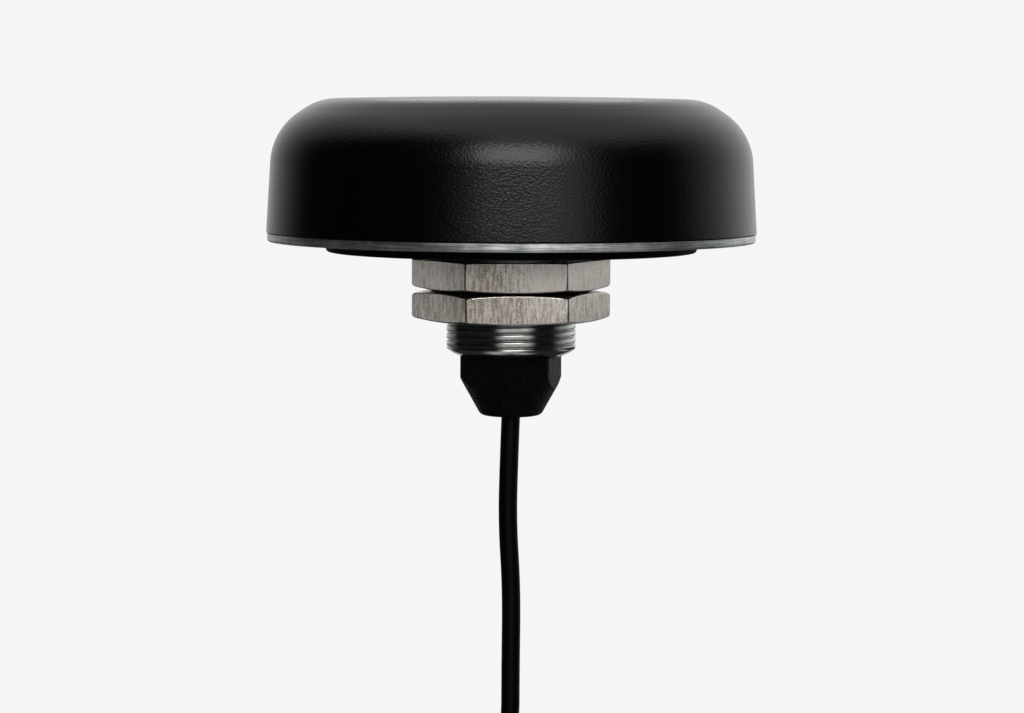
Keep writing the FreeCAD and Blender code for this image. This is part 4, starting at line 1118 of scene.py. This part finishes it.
# %% The gasket
GASKET_COLUMNS = 128
GASKET_LIP = -0.13
GASKET_SECTION = [
    (25.7, 2.0), (25.7, 0.28), (25.63, 0.08), (25.45, -0.08), (25.2, GASKET_LIP), (24.7, GASKET_LIP),
    (24.3, -0.04), (24.0, 0.0), (21.9, 0.0), (21.6, -0.09), (21.3, GASKET_LIP), (20.9, GASKET_LIP),
    (20.6, -0.09), (20.3, 0.0), (17.3, 0.0), (17.0, -0.09), (16.7, GASKET_LIP), (16.3, GASKET_LIP),
    (16.0, -0.09), (15.7, 0.0), (9.1, 0.0), (9.1, 2.0),
]
gasket_section = [(radius * MM, level * MM) for radius, level in GASKET_SECTION]
gasket_shape = bmesh.new()
join_rings(gasket_shape, turned(even_angles(GASKET_COLUMNS), gasket_section))
mesh_piece("ribbed_gasket", gasket_shape, "black_rubber", "receiver", "base_gasket")

# %% [markdown]
# ## The jam nuts
# A jam nut is a thin hexagon nut. It is cut from hexagon bar, and a shallow cone turned on each
# face cuts the corners, which leaves an arc along the top of every flat. The rings follow the
# hexagon with its slightly worn corners, and each flat's edge lies where that cone meets it. An
# edge is worn rounder near the corners, where a spanner bites. The upper nut's top is faced
# nearly flat, to bear on the washer. The bore is plain, as it sits close round the stem's thread.

# %% Nut sizes
NUT_FLATS = 24.0 * MM
NUT_CORNER_ROUND = 0.3 * MM
NUT_FACE_RADIUS = 10.9 * MM
NUT_SLOPE = math.tan(math.radians(10.0))
FLUSH_SLOPE = math.tan(math.radians(1.5))
NUT_CORNER_WEAR = 3.2
FLUSH_CORNER_WEAR = 1.4
WEAR_REACH = 5.0
NUT_EDGE = 0.08 * MM
EDGE_STEPS = ((2.2, 0.0), (0.9, 0.16), (0.25, 0.7), (0.0, 1.6))
THREAD_GAP = 0.05 * MM
COUNTERSINK = 0.55 * MM
NUT_FAN = (0, 0.2, 0.4, 0.58, 0.75, 1.5, 3, 5, 7, 10, 13, 16, 19, 22, 25, 27.5, 30)
print("nuts:", round(NUT_FLATS / MM, 2), "mm over flats")


def nut_angles(turn):
    """Directions round a nut, close together at its corners."""
    fan = sorted({side * offset for offset in NUT_FAN for side in (-1, 1)} - {-30})
    return [turn + math.radians(60 * corner + offset) for corner in range(6) for offset in fan]


# %% Helper: where a nut is bright
FACE_TILT = 0.7
CORNER_BAND = 0.6
EDGE_BAND_IN = 1.5 * NUT_EDGE
EDGE_BAND_BELOW = 1.6 * NUT_EDGE


def is_edge(face, turn, base, top, top_slope):
    """1 on the corners between flats, the worn edges and the turned faces: bright metal."""
    face.normal_update()
    if abs(face.normal.z) > FACE_TILT:
        return 1
    middle = face.calc_center_median()
    radius = math.hypot(middle.x, middle.y)
    away = abs(from_corner(math.atan2(middle.y, middle.x), turn))
    if math.degrees(away) < CORNER_BAND and radius > NUT_FLATS / 2:
        return 1
    flat = NUT_FLATS / 2 / math.cos(SIXTH_TURN / 2 - away)
    beyond = max(flat - NUT_FACE_RADIUS, 0.0)
    depth = min(top - middle.z - beyond * top_slope, middle.z - base - beyond * NUT_SLOPE)
    return int(radius > flat - EDGE_BAND_IN and depth < EDGE_BAND_BELOW)


# %% Helper: one nut
def jam_nut(name, node_name, body, turn_degrees, flush_top=False):
    """Rings down the outside, from the top's mouth to the bottom's, and back up the bore."""
    base, top = (corner.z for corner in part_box(node_name))
    turn = math.radians(turn_degrees)
    angles = nut_angles(turn)
    wall = hexagon(NUT_FLATS, turn, NUT_CORNER_ROUND)
    top_slope = FLUSH_SLOPE if flush_top else NUT_SLOPE
    top_wear = FLUSH_CORNER_WEAR if flush_top else NUT_CORNER_WEAR

    def outline(step, start, way, slope, corner_wear):
        """A line round the flats: so many edge widths in from them, and below the face's cone."""
        inward, below = step
        points = []
        for angle in angles:
            away = abs(math.degrees(from_corner(angle, turn)))
            wear = NUT_EDGE * (1 + (corner_wear - 1) * max(1 - away / WEAR_REACH, 0.0) ** 2)
            radius = wall(angle) - inward * wear
            depth = max(radius - NUT_FACE_RADIUS, 0.0) * slope + below * wear
            points.append(Vector((radius * math.cos(angle), radius * math.sin(angle), start + way * depth)))
        return points

    bore = STEM_RADIUS + THREAD_GAP
    mouth = bore + COUNTERSINK
    rings = turned(angles, ((mouth, top), (NUT_FACE_RADIUS, top)))
    rings += [outline(step, top, -1, top_slope, top_wear) for step in EDGE_STEPS]
    rings += [outline(step, base, 1, NUT_SLOPE, NUT_CORNER_WEAR) for step in reversed(EDGE_STEPS)]
    rings += turned(angles, ((NUT_FACE_RADIUS, base), (mouth, base)))
    rings += turned(angles, ((bore, base + COUNTERSINK), (bore, top - COUNTERSINK)))
    shape = bmesh.new()
    join_rings(shape, rings)
    for face in shape.faces:
        face.material_index = is_edge(face, turn, base, top, top_slope)
    mesh_piece(name, shape, "nut_nickel", body, node_name, edges="nut_edge")


# %% The two nuts
jam_nut("upper_panel_nut", "upper_jam_nut", "upper_nut", 3.3, flush_top=True)
jam_nut("lower_panel_nut", "lower_jam_nut", "lower_nut", 4.0)

# %% [markdown]
# ## The twist ties
# Two black vinyl ties hold the coil. Such a tie is a flat ribbon with a soft steel wire along
# its middle, bent round the bundle, with its ends twisted together twice. A ribbon is one
# section carried along a line, so each tie is a closed loop of sections and two short open
# runs that turn round each other. The wire shows as a low rib along the outside.

# %% Ribbon section and loop
RIBBON_SECTION = [
    (-1.85, 0.0), (1.85, 0.0), (2.0, 0.15), (2.0, 0.4), (1.85, 0.55), (0.75, 0.58), (0.5, 0.8),
    (0.2, 0.92), (-0.2, 0.92), (-0.5, 0.8), (-0.75, 0.58), (-1.85, 0.55), (-2.0, 0.4), (-2.0, 0.15),
]
CORNER_STEPS = 8
ACROSS = Vector((1.0, 0.0, 0.0))


def section_at(place, side, outward):
    """The ribbon's section at a place, with its width along side and its back facing outward."""
    return [place + side * (u * MM) + outward * (v * MM) for u, v in RIBBON_SECTION]


def loop_line(half_width, half_depth, corner):
    """Places and outward directions round a rectangle with round corners, in the Y-Z plane."""
    line = []
    for quarter, (right, up) in enumerate(QUARTERS):
        for step in range(CORNER_STEPS + 1):
            angle = math.radians(90 * (quarter + step / CORNER_STEPS))
            outward = Vector((0.0, math.cos(angle), math.sin(angle)))
            middle = Vector((0.0, right * (half_width - corner), up * (half_depth - corner)))
            line.append((middle + outward * corner, outward))
    return line


def capped(shape, sections):
    """Joins a line of sections, and closes it with a face at each end."""
    grid = join_rings(shape, sections, closed=False)
    shape.faces.new(grid[0])
    shape.faces.new(grid[-1])


# %% Helper: a tie's twisted end
TIE_END = 9.0 * MM
TIE_DROOP = 3.5 * MM
TIE_TWISTS = 2.0
TWISTED_SHARE = 0.85
TWIST_STEPS = 40
TIE_HALF_GAP = 0.02 * MM
TIE_SPREAD = 0.9 * MM


def twisted_end(root, phase):
    """Sections of one free end, which turns round its twin and then spreads from it."""
    sections = []
    for step in range(TWIST_STEPS + 1):
        share = step / TWIST_STEPS
        place = root + Vector((0.0, -TIE_END * share, -TIE_DROOP * share ** 2))
        turn = 2 * math.pi * TIE_TWISTS * min(share / TWISTED_SHARE, 1.0) + phase
        spread = max(share - TWISTED_SHARE, 0.0) / (1 - TWISTED_SHARE) * TIE_SPREAD
        along = Vector((0.0, -1.0, -2 * TIE_DROOP / TIE_END * share)).normalized()
        level = along.cross(ACROSS)
        outward = level * math.cos(turn) + ACROSS * math.sin(turn)
        width = outward.cross(along)
        sections.append(section_at(place + outward * (TIE_HALF_GAP + spread), width, outward))
    return sections


# %% The two ties
TIE_SLACK = 0.12 * MM
TIE_CORNER = 1.5 * MM
TIE_ROOT = 0.3 * MM
tie_low, tie_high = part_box("coil_ties")
tie_middle = (tie_low + tie_high) / 2
bundle_half_width = (coil_high.y - coil_low.y) / 2 + TIE_SLACK
bundle_half_depth = LAYERS * PITCH / 2 + TIE_SLACK
bundle_reach = outer_turn + PITCH / 2 - LAYERS * PITCH / 2
ties_shape = bmesh.new()
for way in (1, -1):
    centre = Vector((tie_middle.x, coil_centre.y, coil_centre.z + way * bundle_reach))
    line = loop_line(bundle_half_width, bundle_half_depth, TIE_CORNER)
    join_rings(ties_shape, [section_at(centre + place, ACROSS, outward) for place, outward in line])
    root = centre + Vector((0.0, -bundle_half_width - TIE_ROOT, 0.0))
    for phase in (0.0, math.pi):
        capped(ties_shape, twisted_end(root, phase))
ties = mesh_piece("twist_ties", ties_shape, "tie_vinyl", "receiver", "coil_ties")

# %% [markdown]
# ## The plug
# The cable ends in a flat four-contact plug. Its body is soft plastic moulded round the cable:
# a ribbed boot that bends with the cable, and a flat grip with ridges down its edges for finger
# and thumb. Every level of it is a rectangle with round corners, from nearly square to fully
# round, so one outline with a fixed number of points serves for the boot, the grip and the seat.

# %% Outlines of the plug, in mm
PLUG_CENTRE = Vector((tail_x, tail_y, plug_high.z))
ARC_STEPS = 6
SHELL_SIZE = (12.0, 4.5, 0.7)
WINDOW_SIDES = (3.7, 1.5)
SEAM_SHARE = 0.02
shell_half_flat = SHELL_SIZE[0] / 2 - SHELL_SIZE[2]
stops = [*(side / shell_half_flat for side in WINDOW_SIDES), SEAM_SHARE]
FLAT_STOPS = [*stops, 0.0, *(-stop for stop in reversed(stops))]


def plate_outline(width, thickness, corner, level):
    """Points round a rectangle with round corners, the same number for every size."""
    half_x, half_y = width / 2 - corner, thickness / 2 - corner
    points = []
    for quarter, (right, back) in enumerate(QUARTERS):
        for step in range(ARC_STEPS + 1):
            angle = math.radians(90 * (quarter + step / ARC_STEPS))
            x = right * half_x + corner * math.cos(angle)
            y = back * half_y + corner * math.sin(angle)
            points.append(Vector((x, y, level)))
        if quarter in (0, 2):
            points += [Vector((back * stop * half_x, back * thickness / 2, level)) for stop in FLAT_STOPS]
    return points


def round_outline(radius, level):
    return plate_outline(2 * radius, 2 * radius, radius, level)


def on_plug(points):
    return [PLUG_CENTRE + point * MM for point in points]


print("points in an outline:", len(round_outline(1.0, 0.0)))

# %% Helpers: pinched sides and notches
PINCH_START = 4.9
PINCH_SPAN = 1.6
PINCH_THINNING = 0.12
NOTCH_FLOOR = 0.3


def pinched(outline, depth):
    """The outline with its two narrow sides pressed in."""
    points = []
    for point in outline:
        share = clipped((abs(point.x) - PINCH_START) / PINCH_SPAN)
        press = math.copysign(depth * smooth_step(share), point.x)
        thinner = 1 - PINCH_THINNING * share * depth
        points.append(Vector((point.x - press, point.y * thinner, point.z)))
    return points


def notch(half_width, depth):
    """The steps down through a groove: (height above its middle, cut)."""
    return ((half_width, 0.0), (NOTCH_FLOOR, depth), (-NOTCH_FLOOR, depth), (-half_width, 0.0))


# %% Moulded body of the plug
BOOT_LENGTH, BOOT_RADIUS, BOOT_ROOT = 10.0, 2.1, 3.4
GROOVES, GROOVE_TOP, GROOVE_PITCH = 5, -1.5, 1.6
RIDGES, RIDGE_TOP, RIDGE_PITCH = 8, -14.0, 1.7
MOULD_SIZE = (15.6, 7.6, 2.4)
MOULD_TOP, MOULD_END = -10.0, -32.0
SEAT_SIZE = (12.06, 4.56, 0.72)
SEAT_TOP = -27.0
BOOT_MOUTH = ((1.3, -8.0), (1.3, 0.0), (1.85, 0.0), (2.05, -0.15))
BOOT_FOOT = ((BOOT_ROOT, MOULD_TOP + 0.5), (BOOT_ROOT + 0.25, MOULD_TOP + 0.1))
GRIP_SHOULDER = (
    (13.2, 5.4, 1.5, MOULD_TOP),
    (14.7, 6.8, 2.0, MOULD_TOP - 0.15),
    (15.3, 7.35, 2.25, MOULD_TOP - 0.5),
    (*MOULD_SIZE, MOULD_TOP - 1.1),
)
GRIP_END_AND_SEAT = (
    (*MOULD_SIZE, MOULD_END + 0.8),
    (15.35, 7.35, 2.3, MOULD_END + 0.25),
    (14.8, 6.8, 2.1, MOULD_END),
    (12.5, 5.0, 0.7, MOULD_END),
    (*SEAT_SIZE, MOULD_END + 0.2),
    (*SEAT_SIZE, SEAT_TOP),
)
levels = [round_outline(*step) for step in BOOT_MOUTH]
for groove in range(GROOVES):
    level = GROOVE_TOP - GROOVE_PITCH * groove
    radius = BOOT_RADIUS + (BOOT_ROOT - BOOT_RADIUS) * -level / BOOT_LENGTH
    levels += [round_outline(radius - cut, level + step) for step, cut in notch(0.45, 0.3)]
levels += [round_outline(*step) for step in BOOT_FOOT]
levels += [plate_outline(*step) for step in GRIP_SHOULDER]
for ridge in range(RIDGES):
    level = RIDGE_TOP - RIDGE_PITCH * ridge
    levels += [pinched(plate_outline(*MOULD_SIZE, level + step), cut) for step, cut in notch(0.6, 0.4)]
levels += [plate_outline(*step) for step in GRIP_END_AND_SEAT]
mould_shape = bmesh.new()
capped(mould_shape, [on_plug(outline) for outline in levels])
overmould = mesh_piece("plug_overmould", mould_shape, "plug_mould", "receiver", "plug_body")

# %% [markdown]
# ### The plug's shell
# The shell is one strip of nickel-plated steel bent into a flat tube, with its ends meeting in
# a seam down the back, and two square windows on each broad side that the socket's springs
# catch. An outer and an inner sheet are made as grids; the cells at the windows are left out,
# and wherever a cell has no neighbour the two sheets are joined by a rim.

# %% Two sheets of points
SHELL_SHEET = 0.3
SHELL_LEVELS = (-27.0, -32.0, -39.4, -41.8, -50.35, -50.75)
MOUTH_TAPER = 0.16
SEAM_DEPTH = 0.1
SEAM_MIDDLE = 0.01


def shell_rows(shape, inset):
    """Rows of points of the outer sheet, or of the inner one, which has no taper and no seam."""
    width, thickness, corner = SHELL_SIZE
    rows = []
    for level in SHELL_LEVELS:
        at_mouth = level == SHELL_LEVELS[-1] and not inset
        narrow = 2 * inset + (MOUTH_TAPER if at_mouth else 0.0)
        outline = plate_outline(width - narrow, thickness - narrow, corner - inset, level)
        for point in outline:
            if not inset and abs(point.x) < SEAM_MIDDLE and point.y > 0:
                point.y -= SEAM_DEPTH
        rows.append([shape.verts.new(point) for point in on_plug(outline)])
    return rows


shell_shape = bmesh.new()
outer = shell_rows(shell_shape, 0.0)
inner = shell_rows(shell_shape, SHELL_SHEET)
columns = len(outer[0])
print("shell:", len(SHELL_LEVELS), "rows of", columns, "points on each sheet")

# %% The cells that stay
WINDOW_ROW = 2
first_stop = ARC_STEPS + 1
beside_the_seam = (first_stop, first_stop + len(FLAT_STOPS) - 2)
half_way_round = 2 * (ARC_STEPS + 1) + len(FLAT_STOPS)
window_columns = {start + step for start in (0, half_way_round) for step in beside_the_seam}
cells = {
    (row, column)
    for row in range(len(SHELL_LEVELS) - 1) for column in range(columns)
    if not (row == WINDOW_ROW and column in window_columns)
}
print("cells:", len(cells), "with", len(window_columns), "windows")

# %% Sheet-metal shell
for row, column in sorted(cells):
    after = (column + 1) % columns
    corners = ((row, column), (row, after), (row + 1, after), (row + 1, column))
    beside = ((row - 1, column), (row, after), (row + 1, column), (row, (column - 1) % columns))
    shell_shape.faces.new([outer[r][c] for r, c in corners])
    shell_shape.faces.new([inner[r][c] for r, c in reversed(corners)])
    for (first, second), neighbour in zip(zip(corners, corners[1:] + corners[:1]), beside):
        if neighbour not in cells:
            rim = (outer[second[0]][second[1]], outer[first[0]][first[1]])
            shell_shape.faces.new((*rim, inner[first[0]][first[1]], inner[second[0]][second[1]]))
metal_shell = mesh_piece("plug_metal_shell", shell_shape, "plug_steel", "receiver", "plug_shell")

# %% [markdown]

# %% [markdown]
# ## Last update
# The view layer is updated once more at the end.

# %% Update the view layer
bpy.context.view_layer.update()
